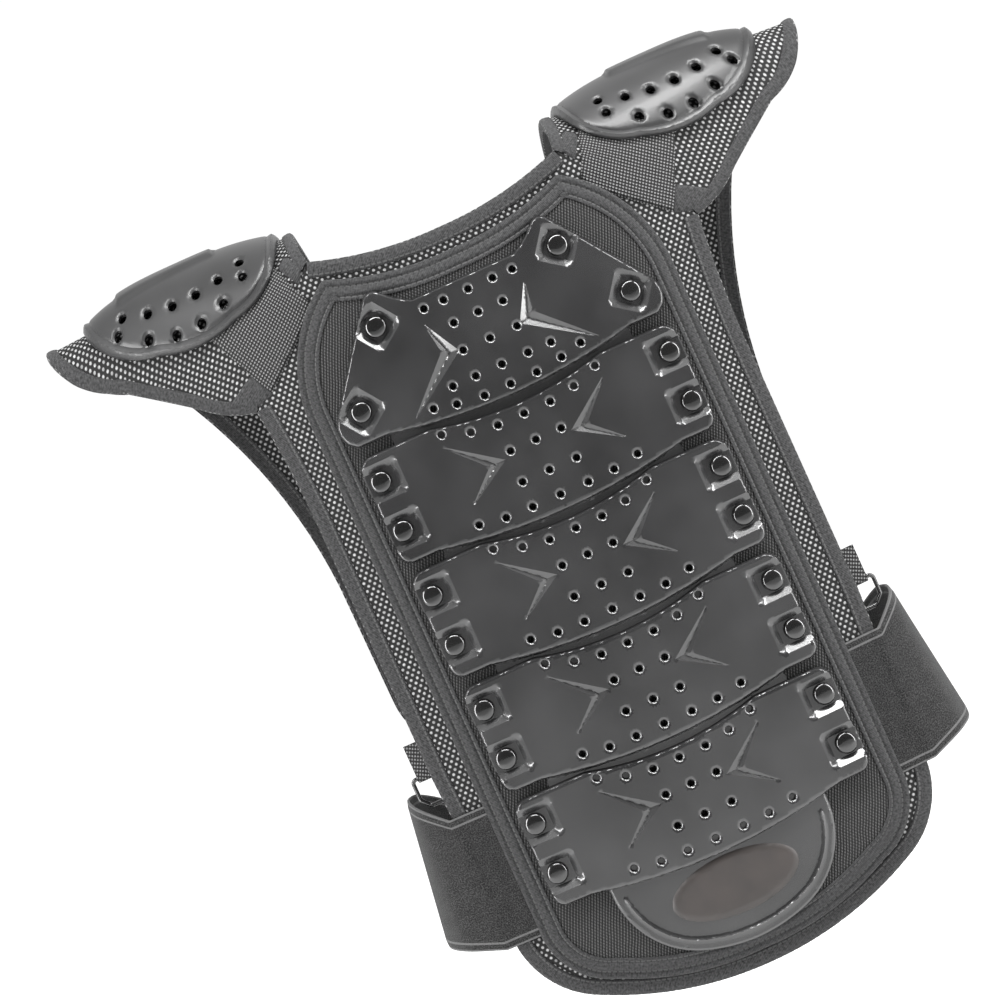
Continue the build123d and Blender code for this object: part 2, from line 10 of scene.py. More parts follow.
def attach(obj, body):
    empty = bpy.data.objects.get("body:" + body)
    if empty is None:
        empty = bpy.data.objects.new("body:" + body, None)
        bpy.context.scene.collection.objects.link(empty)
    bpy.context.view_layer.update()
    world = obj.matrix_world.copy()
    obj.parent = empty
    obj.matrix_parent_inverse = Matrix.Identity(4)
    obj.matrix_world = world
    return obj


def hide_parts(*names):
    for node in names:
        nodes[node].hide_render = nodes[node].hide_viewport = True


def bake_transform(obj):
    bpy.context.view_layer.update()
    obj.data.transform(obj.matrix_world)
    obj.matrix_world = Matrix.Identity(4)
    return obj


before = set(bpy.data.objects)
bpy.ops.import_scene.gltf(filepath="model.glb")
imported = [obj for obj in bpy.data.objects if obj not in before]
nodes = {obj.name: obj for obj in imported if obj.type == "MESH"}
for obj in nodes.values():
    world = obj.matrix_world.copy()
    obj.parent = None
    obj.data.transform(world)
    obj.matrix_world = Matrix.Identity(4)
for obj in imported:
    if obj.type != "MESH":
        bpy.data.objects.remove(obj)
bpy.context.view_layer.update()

# Outlines are in millimetres as (distance from the spine, height above the hem), seen square to
# the back. A piece is drawn on a flat pattern and laid on the body by one of the two maps below.
MM = 0.001
BEHIND, AHEAD = -1, 1
SHOULDER_HEIGHT = 462  # of the frame's origin, above the hem
HALF_DEPTH = 70  # from the origin to the inside of the back, at the spine
CURVE_RADIUS = 500  # of the bow of the back and the chest, inside
MESH = 6  # thickness of the spacer mesh
SEWN = MESH + 0.2  # underside of what is sewn on the mesh
PAD_TOP = 13
PLATE_FOOT = 13.3
PLATE_TOP = 19.0
PLATE_WALL = 2.2
SEAT_TOP = 15.5
SPINE_HEIGHTS = [353.5, 283.5, 213.5, 143.5]  # where the back bends
FABRIC_CUTS = [520, 318.5, 248.5, 178.5, -20]  # mid-plate lines where the fabric pieces meet
PLATE_PITCH = 70
NECK_X, WING_MIDDLE, TIP_X = 76, 140, 240
ARCH_SPRING, ARCH_RISE = 440, 24  # spring line of the shoulder arch, and its rise to its ends
WING_CROWN, WING_DROOP = 483, 5
CAP_CROWN, CAP_MIDDLE, CAP_HALF = 497.5, 150, 62
CAP_DROOP_IN, CAP_DROOP_OUT = 7, 10
CAP_STANDOFF = 9


# ---- maps from pattern to body
def on_torso(side):
    """Lays (x, height) points on the bowed back or chest, some distance outside its inner face."""
    def place(points, above):
        x, height = points[:, 0], points[:, 1]
        depth = np.sqrt((CURVE_RADIUS + above) ** 2 - x ** 2) - (CURVE_RADIUS - HALF_DEPTH)
        return np.column_stack([x, side * depth, height - SHOULDER_HEIGHT]) * MM
    return place


def half_depth(x):
    return HALF_DEPTH - CURVE_RADIUS + np.sqrt(CURVE_RADIUS ** 2 - np.asarray(x, float) ** 2)


def spring_height(x):
    """Height at which the arch over the shoulder turns in from the upright faces."""
    x = np.asarray(x, float)
    span = np.where(x < WING_MIDDLE, WING_MIDDLE - NECK_X, TIP_X - WING_MIDDLE)
    return ARCH_SPRING + ARCH_RISE * ((x - WING_MIDDLE) / span) ** 2


def wing_top(x):
    return WING_CROWN - WING_DROOP * ((np.asarray(x, float) - NECK_X) / (TIP_X - NECK_X)) ** 2


def cap_top(x):
    end = np.abs(np.asarray(x, float) - CAP_MIDDLE) / CAP_HALF
    return CAP_CROWN - np.where(np.asarray(x) < CAP_MIDDLE, CAP_DROOP_IN, CAP_DROOP_OUT) * end ** 3


class Arch:
    """The arch over one shoulder. Its pattern is (x, travel), travel being the distance from the
    crown along the fabric, negative to the back."""

    def __init__(self, sign, base_depth, top):
        self.sign, self.base_depth, self.top = sign, base_depth, top

    def sizes(self, x):
        depth = half_depth(x) + self.base_depth
        rise = self.top(x) - spring_height(x)
        skew = ((depth - rise) / (depth + rise)) ** 2
        quarter = pi / 4 * (depth + rise) * (1 + 3 * skew / (10 + np.sqrt(4 - 3 * skew)))
        return depth, rise, quarter

    def travel(self, x, height):
        """Travel at which the pattern crosses a height."""
        depth, rise, quarter = self.sizes(x)
        base = spring_height(x)
        up = np.clip((np.asarray(height, float) - base) / rise, 0, 1)
        return np.where(height < base, quarter + base - height, quarter * (1 - np.arcsin(up) * 2 / pi))

    def __call__(self, points, above):
        x, travel = points[:, 0], points[:, 1]
        depth, rise, quarter = self.sizes(x)
        reach = np.abs(travel)
        angle = np.clip(1 - reach / quarter, 0, 1) * pi / 2
        side = np.where(travel < 0, -1, 1)
        y = side * (depth + above) * np.cos(angle)
        z = spring_height(x) + (rise + above) * np.sin(angle) - np.maximum(reach - quarter, 0)
        return np.column_stack([self.sign * x, y, z - SHOULDER_HEIGHT]) * MM


# ---- outlines
def arc(start, via, end, count=14):
    """Points on the circle through three points, both ends included."""
    (ax, ay), (bx, by), (cx, cy) = start, via, end
    d = 2 * (ax * (by - cy) + bx * (cy - ay) + cx * (ay - by))
    aa, bb, cc = ax ** 2 + ay ** 2, bx ** 2 + by ** 2, cx ** 2 + cy ** 2
    ux = (aa * (by - cy) + bb * (cy - ay) + cc * (ay - by)) / d
    uy = (aa * (cx - bx) + bb * (ax - cx) + cc * (bx - ax)) / d
    a0, a1, a2 = (np.arctan2(y - uy, x - ux) for x, y in (start, via, end))
    turn = (a2 - a0) % (2 * pi)
    if (a1 - a0) % (2 * pi) > turn:
        turn -= 2 * pi
    angles = a0 + turn * np.linspace(0, 1, count)
    radius = sqrt((ax - ux) ** 2 + (ay - uy) ** 2)
    return [(ux + radius * cos(a), uy + radius * sin(a)) for a in angles]


def chain(*runs):
    """One path from several, without repeating shared points."""
    path = []
    for run in runs:
        for point in run:
            if not path or np.hypot(point[0] - path[-1][0], point[1] - path[-1][1]) > 1e-3:
                path.append((float(point[0]), float(point[1])))
    return path


def mirrored(points):
    return [(-x, y) for x, y in points]


def symmetric(half):
    """Closes a right half, drawn from the spine and back to it, into a whole outline."""
    return half + mirrored([(x, y) for x, y in reversed(half) if x > 1e-3])


def out_from_spine(half):
    """An open path across the spine, from a right half that starts on it."""
    return mirrored(reversed(half)) + half[1:]


def in_to_spine(half):
    """An open path across the spine, from a right half that ends on it."""
    return half + mirrored(reversed(half[:-1]))


NECK_CORNER, WING_TIP, ARMPIT, FOLD_END = (NECK_X, 465), (TIP_X, 484), (137, 400), (187, 443)
NECK = arc((0, 452), (40, 455.2), NECK_CORNER)
ARMHOLE = chain(arc(ARMPIT, (133.2, 360), (132, 320)), [(132, 170), (127, 62)],
                arc((127, 62), (117, 38), (95, 21)), arc((95, 21), (50, 5.5), (0, 0)))
WING_BACK_EDGE = chain(arc((168, 417), (153, 406), ARMPIT)[::-1], arc((205, 444), (228, 459), WING_TIP))
WING_FRONT_EDGE = arc(FOLD_END, (226, 458), WING_TIP)
BACK = symmetric(chain(NECK, ARMHOLE))
COVER = symmetric(chain(arc((0, 438), (40, 441.5), (72, 452)), arc((72, 452), (100, 424), (112, 385)),
                        [(112, 64)], arc((112, 64), (103, 40), (82, 26)), arc((82, 26), (42, 12.5), (0, 9))))
CHEST_EDGE = chain(arc(FOLD_END, (156, 375), (141, 290)), arc((140, 215), (127, 182), (92, 168)), [(0, 168)])
CHEST_NECK = arc((0, 402), (48, 419), NECK_CORNER)
CHEST = symmetric(chain(CHEST_NECK, [FOLD_END], CHEST_EDGE))
CHEST_COVER = symmetric(chain(arc((0, 388), (40, 394), (72, 414)), arc((72, 414), (96, 398), (104, 372)),
                              [(104, 222)], arc((104, 222), (94, 196), (66, 184)), [(0, 184)]))
TAIL = symmetric(chain([(0, 92), (66, 92), (66, 72)], arc((66, 72), (54, 38), (30, 22)),
                       arc((30, 22), (15, 18.3), (0, 17))))
PLATE_EDGE = symmetric(chain(arc((0, 24), (28, 26), (52, 31)), [(88, 31)],
                             arc((88, 31), (94.5, 28.5), (97, 22), 6), [(97, -26)],
                             arc((97, -26), (95, -31.5), (90, -34), 6), [(75, -34)],
                             arc((75, -34), (40, -39.6), (0, -42))))
TOP_PLATE_EDGE = symmetric(chain([(0, 421), (31, 421)], arc((31, 421), (38, 425), (46, 432), 5),
                                 arc((46, 432), (51, 434.5), (56.5, 432), 6),
                                 arc((97, 377), (99.5, 369), (97, 361), 6), [(92, 357), (75, 357)],
                                 arc((75, 357), (40, 351), (0, 348.5))))
CAP_RIM = chain(arc((87, 493), (99, 466), (125, 453)), arc((125, 453), (150, 448), (175, 453)),
                arc((175, 453), (202, 466), (213, 486)))


def moved(points, rise):
    return [(x, y + rise) for x, y in points]


def resample(path, step, closed=False):
    """Evenly spaced points along a path, keeping its corners closely enough for a smooth edge."""
    points = np.array(path + [path[0]] if closed else path, float)
    lengths = np.hypot(*np.diff(points, axis=0).T)
    along = np.concatenate([[0], np.cumsum(lengths)])
    count = max(2, int(round(along[-1] / step)) + 1)
    spots = np.linspace(0, along[-1], count)
    even = np.column_stack([np.interp(spots, along, points[:, 0]), np.interp(spots, along, points[:, 1])])
    return even[:-1] if closed else even


def inside(points, outline):
    """Which points lie inside a closed outline."""
    outline = np.asarray(outline, float)
    following = np.roll(outline, -1, axis=0)
    hits = np.zeros(len(points), bool)
    for (x1, y1), (x2, y2) in zip(outline, following):
        if y1 == y2:
            continue
        crosses = (points[:, 1] > y1) != (points[:, 1] > y2)
        hits ^= crosses & (points[:, 0] < (x2 - x1) * (points[:, 1] - y1) / (y2 - y1) + x1)
    return hits


def edge_distance(points, outline, closed=True):
    """Distance from each point to the nearest edge of an outline."""
    outline = np.asarray(outline, float)
    starts = outline if closed else outline[:-1]
    ends = np.roll(outline, -1, axis=0) if closed else outline[1:]
    nearest = np.full(len(points), 1e9)
    for start, end in zip(starts, ends):
        run = end - start
        share = np.clip(((points - start) @ run) / max(run @ run, 1e-9), 0, 1)
        gap = points - start - share[:, None] * run
        nearest = np.minimum(nearest, np.hypot(gap[:, 0], gap[:, 1]))
    return nearest


def clipped(outline, low, high):
    """The part of an outline between two heights."""
    for limit, keep_below in ((high, True), (low, False)):
        result = []
        for (x1, y1), (x2, y2) in zip(outline, outline[1:] + outline[:1]):
            in1 = y1 <= limit if keep_below else y1 >= limit
            in2 = y2 <= limit if keep_below else y2 >= limit
            if in1:
                result.append((x1, y1))
            if in1 != in2:
                share = (limit - y1) / (y2 - y1)
                result.append((x1 + share * (x2 - x1), limit))
        outline = result
    return outline


def inner_loops(outline, offsets, step):
    """Points along an outline, moved in by each offset in turn."""
    loop = resample(outline, step, closed=True)
    run = np.roll(loop, -1, axis=0) - np.roll(loop, 1, axis=0)
    run /= np.maximum(np.hypot(*run.T), 1e-9)[:, None]
    found = []
    for offset in offsets:
        for turn in (-1, 1):
            moved_in = loop + turn * offset * np.column_stack([-run[:, 1], run[:, 0]])
            found.append(moved_in[edge_distance(moved_in, outline) > offset * 0.97])
    return found


def ring(centre, radius, count=14):
    turns = np.linspace(0, 2 * pi, count + 1)[:-1]
    return [(centre[0] + radius * cos(a), centre[1] + radius * sin(a)) for a in turns]


def reach_from(points, centre, scale=1.0):
    return np.hypot(*((points - np.array(centre)) / scale).T)


# ---- height profiles
def level(value):
    return lambda points: np.full(len(points), float(value))


def smooth(value):
    value = np.clip(value, 0, 1)
    return value * value * (3 - 2 * value)


def rounded(rim, radius):
    """A quarter circle up from an edge, as a share of its full height."""
    return np.sqrt(1 - (1 - np.clip(rim / radius, 0, 1)) ** 2)


def swollen(rim, width):
    """A soft rise from an edge, as a share of its full height."""
    return np.sqrt(np.clip(rim / width, 0, 1))


def raised_line(rim, inset, width):
    """A round line that follows an edge at a distance in from it."""
    return np.exp(-((rim - inset) / width) ** 2)


# ---- mesh builders
def add_object(name, data):
    obj = bpy.data.objects.new(name, data)
    bpy.context.scene.collection.objects.link(obj)
    return obj


def make_object(name, verts, faces, uvs, sharp=35):
    """A closed, smooth-shaded mesh with its pattern kept as a UV map in metres."""
    mesh = bpy.data.meshes.new(name)
    mesh.from_pydata([tuple(v) for v in verts], [], faces)
    layer = mesh.uv_layers.new(name="pattern")
    index = np.empty(len(mesh.loops), int)
    mesh.loops.foreach_get("vertex_index", index)
    layer.data.foreach_set("uv", (np.asarray(uvs)[index] * MM).astype(np.float32).ravel())
    edit = bmesh.new()
    edit.from_mesh(mesh)
    bmesh.ops.recalc_face_normals(edit, faces=edit.faces)
    edit.to_mesh(mesh)
    edit.free()
    mesh.polygons.foreach_set("use_smooth", [True] * len(mesh.polygons))
    mesh.set_sharp_from_angle(angle=radians(sharp))
    return add_object(name, mesh)


def slab(name, outline, place, top, bottom, step, holes=(), extra=(), lines=(), sharp=35):
    """A sheet with real thickness, cut to an outline with holes, its faces set by two height maps. Its
    triangles follow the lines, where the surface has a crease."""
    outline = resample(chain(outline), step, closed=True)
    loops = [outline] + [np.asarray(h, float) for h in holes]
    low, high = outline.min(0), outline.max(0)
    grid = np.array([(x + (0.5 * step if row % 2 else 0), y)
                     for row, y in enumerate(np.arange(low[1], high[1], step * 0.87))
                     for x in np.arange(low[0], high[0], step)])
    points = np.vstack([grid] + [np.asarray(e, float) for e in extra])
    points = points[inside(points, outline)]
    points = points[edge_distance(points, outline) > 0.35 * min(step, 1.5)]
    for hole in loops[1:]:
        centre = hole.mean(0)
        radius = np.hypot(*(hole - centre).T).max()
        points = points[np.hypot(*(points - centre).T) > radius + 0.25]
    creases = [np.asarray(line, float) for line in lines]
    for crease in creases:
        points = points[edge_distance(points, crease) > 0.3]
    verts = np.vstack(loops + creases + [points])
    edges, start = [], 0
    for loop in loops + creases:
        edges += [(start + i, start + (i + 1) % len(loop)) for i in range(len(loop))]
        start += len(loop)
    flat = delaunay_2d_cdt([Vector(v) for v in verts], edges, [], 0, 1e-4)
    verts = np.array([tuple(v) for v in flat[0]])
    triangles = np.array(flat[2])
    centres = verts[triangles].mean(1)
    keep = inside(centres, outline)
    for hole in loops[1:]:
        keep &= ~inside(centres, hole)
    triangles = triangles[keep]
    count = len(verts)
    faces = [tuple(t) for t in triangles] + [tuple(t[::-1] + count) for t in triangles]
    used = {(t[i], t[(i + 1) % 3]): True for t in triangles for i in range(3)}
    for a, b in used:
        if (b, a) not in used:
            faces.append((b, a, a + count, b + count))
    above, below = top(verts), bottom(verts)
    placed = np.vstack([place(verts, above), place(verts, np.minimum(below, above - 0.05))])
    return make_object(name, placed, faces, np.vstack([verts, verts]), sharp)


def ribbon_parts(path, place, profile, inward):
    """Verts, faces and pattern of a tape swept along a path; profile is (across, above) pairs."""
    path = np.asarray(path, float)
    run = np.gradient(path, axis=0)
    run /= np.maximum(np.hypot(*run.T), 1e-9)[:, None]
    across = np.column_stack([-run[:, 1], run[:, 0]]) * inward
    along = np.concatenate([[0], np.cumsum(np.hypot(*np.diff(path, axis=0).T))])
    verts, pattern = [], []
    for offset, above in profile:
        verts.append(place(path + across * offset, np.full(len(path), float(above))))
        pattern.append(np.column_stack([along, np.full(len(path), offset)]))
    sides, count = len(profile), len(path)
    verts, pattern = np.vstack(verts), np.vstack(pattern)
    faces = []
    for i in range(count - 1):
        for k in range(sides):
            a, b = k * count + i, ((k + 1) % sides) * count + i
            faces.append((a, a + 1, b + 1, b))
    faces.append(tuple(k * count for k in range(sides)))
    faces.append(tuple(k * count + count - 1 for k in reversed(range(sides))))
    return verts, faces, pattern


def ribbons(name, paths, place, profile, inward=1, step=3.0):
    """One object from several taped edges."""
    verts, faces, pattern, start = [], [], [], 0
    for path in paths:
        part = ribbon_parts(resample(path, step), place, profile, inward)
        verts.append(part[0])
        faces += [tuple(i + start for i in face) for face in part[1]]
        pattern.append(part[2])
        start += len(part[0])
    return make_object(name, np.vstack(verts), faces, np.vstack(pattern), sharp=50)


def between(path, low, high):
    """The pieces of an open path that lie between two heights, cut exactly at the limits."""
    pieces, current = [], []
    for (x1, y1), (x2, y2) in zip(path, path[1:]):
        shares = [(limit - y1) / (y2 - y1) for limit in (low, high)] if y1 != y2 else []
        stops = [0] + sorted(t for t in shares if 0 < t < 1) + [1]
        for a, b in zip(stops, stops[1:]):
            middle = y1 + (a + b) / 2 * (y2 - y1)
            first = (x1 + a * (x2 - x1), y1 + a * (y2 - y1))
            last = (x1 + b * (x2 - x1), y1 + b * (y2 - y1))
            if low < middle < high:
                current = current or [first]
                current.append(last)
            elif current:
                pieces.append(current)
                current = []
    if current:
        pieces.append(current)
    return pieces


# ---- materials
class Paint:
    """A small node-material builder."""

    def __init__(self, name, colour, roughness, specular=0.5, sheen=0.0, coat=0.0):
        self.material = bpy.data.materials.new(name)
        self.material.use_nodes = True
        self.tree = self.material.node_tree
        self.shader = self.tree.nodes["Principled BSDF"]
        self.set("Base Color", (*colour, 1))
        self.set("Roughness", roughness)
        self.set("Specular IOR Level", specular)
        self.set("Sheen Weight", sheen)
        self.set("Coat Weight", coat)
        self.set("Coat Roughness", 0.1)
        self.normal = None

    def set(self, socket, value):
        self.shader.inputs[socket].default_value = value

    def node(self, kind, **settings):
        node = self.tree.nodes.new(kind)
        inputs = settings.pop("inputs", {})
        for key, value in settings.items():
            setattr(node, key, value)
        for key, value in inputs.items():
            if isinstance(value, bpy.types.NodeSocket):
                self.tree.links.new(value, node.inputs[key])
            else:
                node.inputs[key].default_value = value
        return node

    def math(self, operation, a, b=0.0):
        return self.node("ShaderNodeMath", operation=operation, inputs={0: a, 1: b}).outputs[0]

    def times(self, a, b):
        return self.math("MULTIPLY", a, b)

    def plus(self, a, b):
        return self.math("ADD", a, b)

    def minus(self, a, b):
        return self.math("SUBTRACT", a, b)

    def ranged(self, value, low, high, first, last, curve="LINEAR"):
        """A value that goes from first to last as the input goes from low to high."""
        return self.node("ShaderNodeMapRange", interpolation_type=curve,
                         inputs={0: value, 1: low, 2: high, 3: first, 4: last}).outputs[0]

    def mixed(self, share, ground, colour):
        return self.node("ShaderNodeMix", data_type="RGBA",
                         inputs={0: share, 6: ground, 7: (*colour, 1)}).outputs[2]

    def pattern(self):
        """The flat pattern's two distances, in metres."""
        uv = self.node("ShaderNodeUVMap", uv_map="pattern")
        split = self.node("ShaderNodeSeparateXYZ", inputs={0: uv.outputs[0]})
        return uv.outputs[0], split.outputs[0], split.outputs[1]

    def noise(self, spot, scale, detail=2.0):
        return self.node("ShaderNodeTexNoise",
                         inputs={"Vector": spot, "Scale": scale, "Detail": detail}).outputs["Fac"]

    def object_noise(self, scale, detail=2.0):
        return self.noise(self.node("ShaderNodeTexCoord").outputs["Object"], scale, detail)

    def ramp(self, factor, low, high, colours):
        ramp = self.node("ShaderNodeValToRGB", inputs={0: factor})
        ramp.color_ramp.elements[0].position, ramp.color_ramp.elements[1].position = low, high
        for element, colour in zip(ramp.color_ramp.elements, colours):
            element.color = (*colour, 1)
        return ramp.outputs[0]

    def colour(self, socket):
        self.tree.links.new(socket, self.shader.inputs["Base Color"])

    def rough(self, factor, low, high):
        self.tree.links.new(self.ranged(factor, 0, 1, low, high), self.shader.inputs["Roughness"])

    def bump(self, height, distance, strength=1.0):
        inputs = {"Height": height, "Distance": distance, "Strength": strength}
        if self.normal:
            inputs["Normal"] = self.normal
        self.normal = self.node("ShaderNodeBump", inputs=inputs).outputs[0]
        self.tree.links.new(self.normal, self.shader.inputs["Normal"])


def grey(value):
    return (value, value, value)


def scaled(colour, factor):
    return tuple(c * factor for c in colour)


def ripple(paint, distance, pitch):
    """Even ribs across a distance, between 0 and 1."""
    turns = paint.times(distance, 2 * pi / pitch)
    return paint.plus(paint.times(paint.math("SINE", turns), 0.5), 0.5)


def plastic(name, colour, roughness, coat=0.35):
    """Satin moulded plastic: fine grain, soft mottling and slight scuffs."""
    paint = Paint(name, colour, roughness, coat=coat)
    grain, mottle = paint.object_noise(900), paint.object_noise(22, 4)
    paint.colour(paint.ramp(mottle, 0.35, 0.7, (scaled(colour, 0.75), scaled(colour, 1.4))))
    paint.rough(mottle, roughness - 0.06, roughness + 0.08)
    paint.bump(grain, 0.00004, 0.4)
    return paint.material


def hex_mesh():
    """Spacer mesh: a dark ground with bright openings on a honeycomb."""
    paint = Paint("spacer_mesh_fabric", grey(0.03), 0.75, specular=0.2)
    uv, across, along = paint.pattern()
    cell, squash = 0.0038, 1.28
    fields = []
    for shift in (0.0, 0.5):
        u = paint.plus(paint.math("DIVIDE", across, cell), shift)
        v = paint.plus(paint.math("DIVIDE", along, cell * squash), shift)
        du = paint.minus(paint.math("FRACT", u), 0.5)
        dv = paint.times(paint.minus(paint.math("FRACT", v), 0.5), squash)
        square = paint.plus(paint.times(du, du), paint.times(dv, dv))
        fields.append(paint.math("SQRT", square))
    nearest = paint.math("MINIMUM", fields[0], fields[1])
    dot = paint.ranged(nearest, 0.12, 0.31, 1, 0, curve="SMOOTHSTEP")
    spark = paint.noise(uv, 420, 2)
    lit = paint.times(dot, paint.ranged(spark, 0.3, 0.7, 0.45, 1))
    paint.colour(paint.ramp(lit, 0.05, 0.95, (grey(0.006), grey(0.30))))
    paint.bump(dot, 0.0005, 0.6)
    return paint.material


def knit(name, colour, pitch, speck=0.0):
    """Fine ribbed knit, the ribs on a slant and broken into short stitches."""
    paint = Paint(name, colour, 0.85, specular=0.15, sheen=0.04)
    uv, across, along = paint.pattern()
    wander = paint.noise(uv, 60, 1)
    slant = paint.minus(across, paint.times(along, 0.45))
    slant = paint.plus(slant, paint.times(wander, pitch * 0.8))
    rib = ripple(paint, slant, pitch)
    stitch = ripple(paint, paint.plus(along, paint.times(across, 1.1)), pitch * 1.3)
    weave = paint.times(rib, paint.plus(paint.times(stitch, 0.65), 0.35))
    fuzz = paint.noise(uv, 900, 3)
    tone = paint.plus(paint.times(weave, 0.75), paint.times(fuzz, 0.25 + speck))
    paint.colour(paint.ramp(tone, 0.18, 0.85, (scaled(colour, 0.25), scaled(colour, 3.4))))
    paint.bump(weave, 0.0005, 0.9)
    paint.bump(fuzz, 0.0001, 0.5)
    return paint.material


def tape(name, colour, rows):
    """Soft binding tape with rows of stitches at set distances in from the edge."""
    paint = Paint(name, colour, 0.85, specular=0.15, sheen=0.05)
    uv, along, across = paint.pattern()
    fuzz = paint.noise(uv, 700, 3)
    cross = ripple(paint, along, 0.0009)
    thread = 0.0
    for row in rows:
        gap = paint.math("ABSOLUTE", paint.minus(across, row * MM))
        line = paint.math("LESS_THAN", gap, 0.00045)
        dash = paint.math("LESS_THAN", paint.math("FRACT", paint.math("DIVIDE", along, 0.0032)), 0.72)
        thread = paint.math("MAXIMUM", paint.times(line, dash), thread)
    tone = paint.plus(paint.times(fuzz, 0.75), paint.times(cross, 0.15))
    ground = paint.ramp(tone, 0.28, 0.68, (scaled(colour, 0.3), scaled(colour, 2.0)))
    paint.colour(paint.mixed(thread, ground, grey(0.06)))
    paint.bump(cross, 0.00012, 0.5)
    paint.bump(thread, 0.0003, 0.7)
    return paint.material


def webbing():
    """Ribbed elastic webbing with light specks between its ribs."""
    paint = Paint("ribbed_webbing", grey(0.04), 0.75, specular=0.25)
    uv, across, along = paint.pattern()
    slant = paint.plus(along, paint.times(across, 0.5))
    rib = ripple(paint, slant, 0.0023)
    pick = ripple(paint, paint.minus(across, paint.times(along, 0.5)), 0.0018)
    tone = paint.times(rib, pick)
    paint.colour(paint.ramp(tone, 0.1, 0.95, (grey(0.005), grey(0.17))))
    paint.bump(rib, 0.0005, 0.9)
    paint.bump(pick, 0.0002, 0.6)
    return paint.material


def loop_pile():
    """Brushed elastic: dark speckle, with a light selvedge along both edges of the band."""
    paint = Paint("brushed_elastic", grey(0.03), 0.92, specular=0.1, sheen=0.05)
    uv, along, across = paint.pattern()
    fuzz = paint.noise(uv, 1300, 4)
    coarse = paint.noise(uv, 160, 2)
    tone = paint.plus(paint.times(fuzz, 0.88), paint.times(coarse, 0.12))
    ground = paint.ramp(tone, 0.42, 0.7, (grey(0.006), grey(0.045)))
    from_middle = paint.math("ABSOLUTE", paint.minus(across, 0.04))
    rim = paint.math("GREATER_THAN", from_middle, 0.039)
    welt = paint.math("LESS_THAN", paint.math("ABSOLUTE", paint.minus(from_middle, 0.0355)), 0.0006)
    edge = paint.times(paint.math("MAXIMUM", rim, welt), 0.6)
    paint.colour(paint.mixed(edge, ground, grey(0.11)))
    paint.bump(fuzz, 0.0004, 0.8)
    return paint.material


def badge_paint():
    """A blank oval badge: matt brown-black with a faint brushed tone."""
    paint = Paint("badge_brown", (0.03, 0.018, 0.014), 0.5)
    mottle = paint.object_noise(60, 4)
    paint.colour(paint.ramp(mottle, 0.3, 0.75, ((0.012, 0.0095, 0.0085), (0.022, 0.017, 0.015))))
    paint.bump(paint.object_noise(800), 0.00005, 0.4)
    return paint.material


PLASTIC = plastic("satin_plastic", (0.013, 0.013, 0.0133), 0.22)
CAP_PLASTIC = plastic("cap_plastic", (0.011, 0.011, 0.0113), 0.4, coat=0.04)
GLOSS = plastic("rivet_plastic", grey(0.004), 0.12)
SPACER = hex_mesh()
KNIT = knit("cover_knit", grey(0.019), 0.0018)
TAPE = tape("edge_tape_cloth", (0.026, 0.026, 0.0265), (7.4,))
PIPING = tape("piping_cloth", (0.024, 0.024, 0.0245), (4.3, 10.5))
WEBBING = webbing()
PILE = loop_pile()
BADGE = badge_paint()
HOOKS = knit("hook_tape_cloth", grey(0.012), 0.0012, speck=0.2)


def finish_piece(obj, material, replaced=(), body=None, blend=None):
    """Gives a piece its material and slot, hides the CAD nodes it stands for and parents it to the body it
    moves with. A blend is not set up: its bodies and points go unused, and the piece is only baked in place.
    """
    obj.data.materials.clear()
    obj.data.materials.append(material)
    if replaced:
        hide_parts(*replaced)
    if body:
        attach(obj, body)
    if blend:
        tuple(blend[2])
        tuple(blend[3])
        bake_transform(obj)
    return obj


# ---- back: fabric in four lengths
back = on_torso(BEHIND)
chest = on_torso(AHEAD)
# Sections of the sewn edges, as (distance in from the edge, distance out from the mesh's inner face).
TAPE_PROFILE = [(9, -0.4), (1.2, -0.6), (0.1, 0.4), (-0.3, 3.0), (0.1, 5.8), (1.2, 7.1), (3.2, 7.5),
                (6.2, 7.3), (8.4, 6.9), (9, 6.1)]
NARROW_TAPE = [(offset * 0.72, above) for offset, above in TAPE_PROFILE]
PIPING_PROFILE = [(12.5, 6.2), (0.4, 6.2), (-0.1, 7.8), (0.3, 9.7), (1.4, 10.9), (2.7, 11.1), (3.8, 10.5),
                  (4.4, 10.2), (5.0, 10.8), (6.2, 12.3), (7.8, 13.1), (9.4, 12.9), (10.3, 12.2), (10.9, 12.7),
                  (11.8, 13.2), (12.5, 13.0)]
PAD_EDGE = 8.5  # height of a pad under its piping
PAD_CROWN = 0.8  # its last, slowest rise
BEND_REACH = 0.012  # how far a bend spreads each way along the spine, in metres


def body_name(number):
    """The body that carries one length of the back."""
    return "yoke" if number == 1 else f"back_{number}"


def spine_blend(number):
    """The blend across one flex line for the fabric piece that crosses it."""
    height = (SPINE_HEIGHTS[number - 1] - SHOULDER_HEIGHT) * MM
    back_y = BEHIND * HALF_DEPTH * MM
    return (body_name(number), body_name(number + 1), (0, back_y, height + BEND_REACH),
            (0, back_y, height - BEND_REACH))


def fabric_nodes(kind, number):
    """CAD nodes that one fabric length stands for: the last one also covers the bottom segment."""
    return [f"{kind}_{n}" for n in ((4, 5) if number == 4 else (number,))]


def padded_height(points, outline):
    """A pad's soft crown, starting low under its piping."""
    rim = edge_distance(points, outline)
    swell = PAD_TOP - PAD_CROWN - PAD_EDGE
    return PAD_EDGE + swell * smooth((rim - 3) / 8) + PAD_CROWN * smooth((rim - 11) / 14)


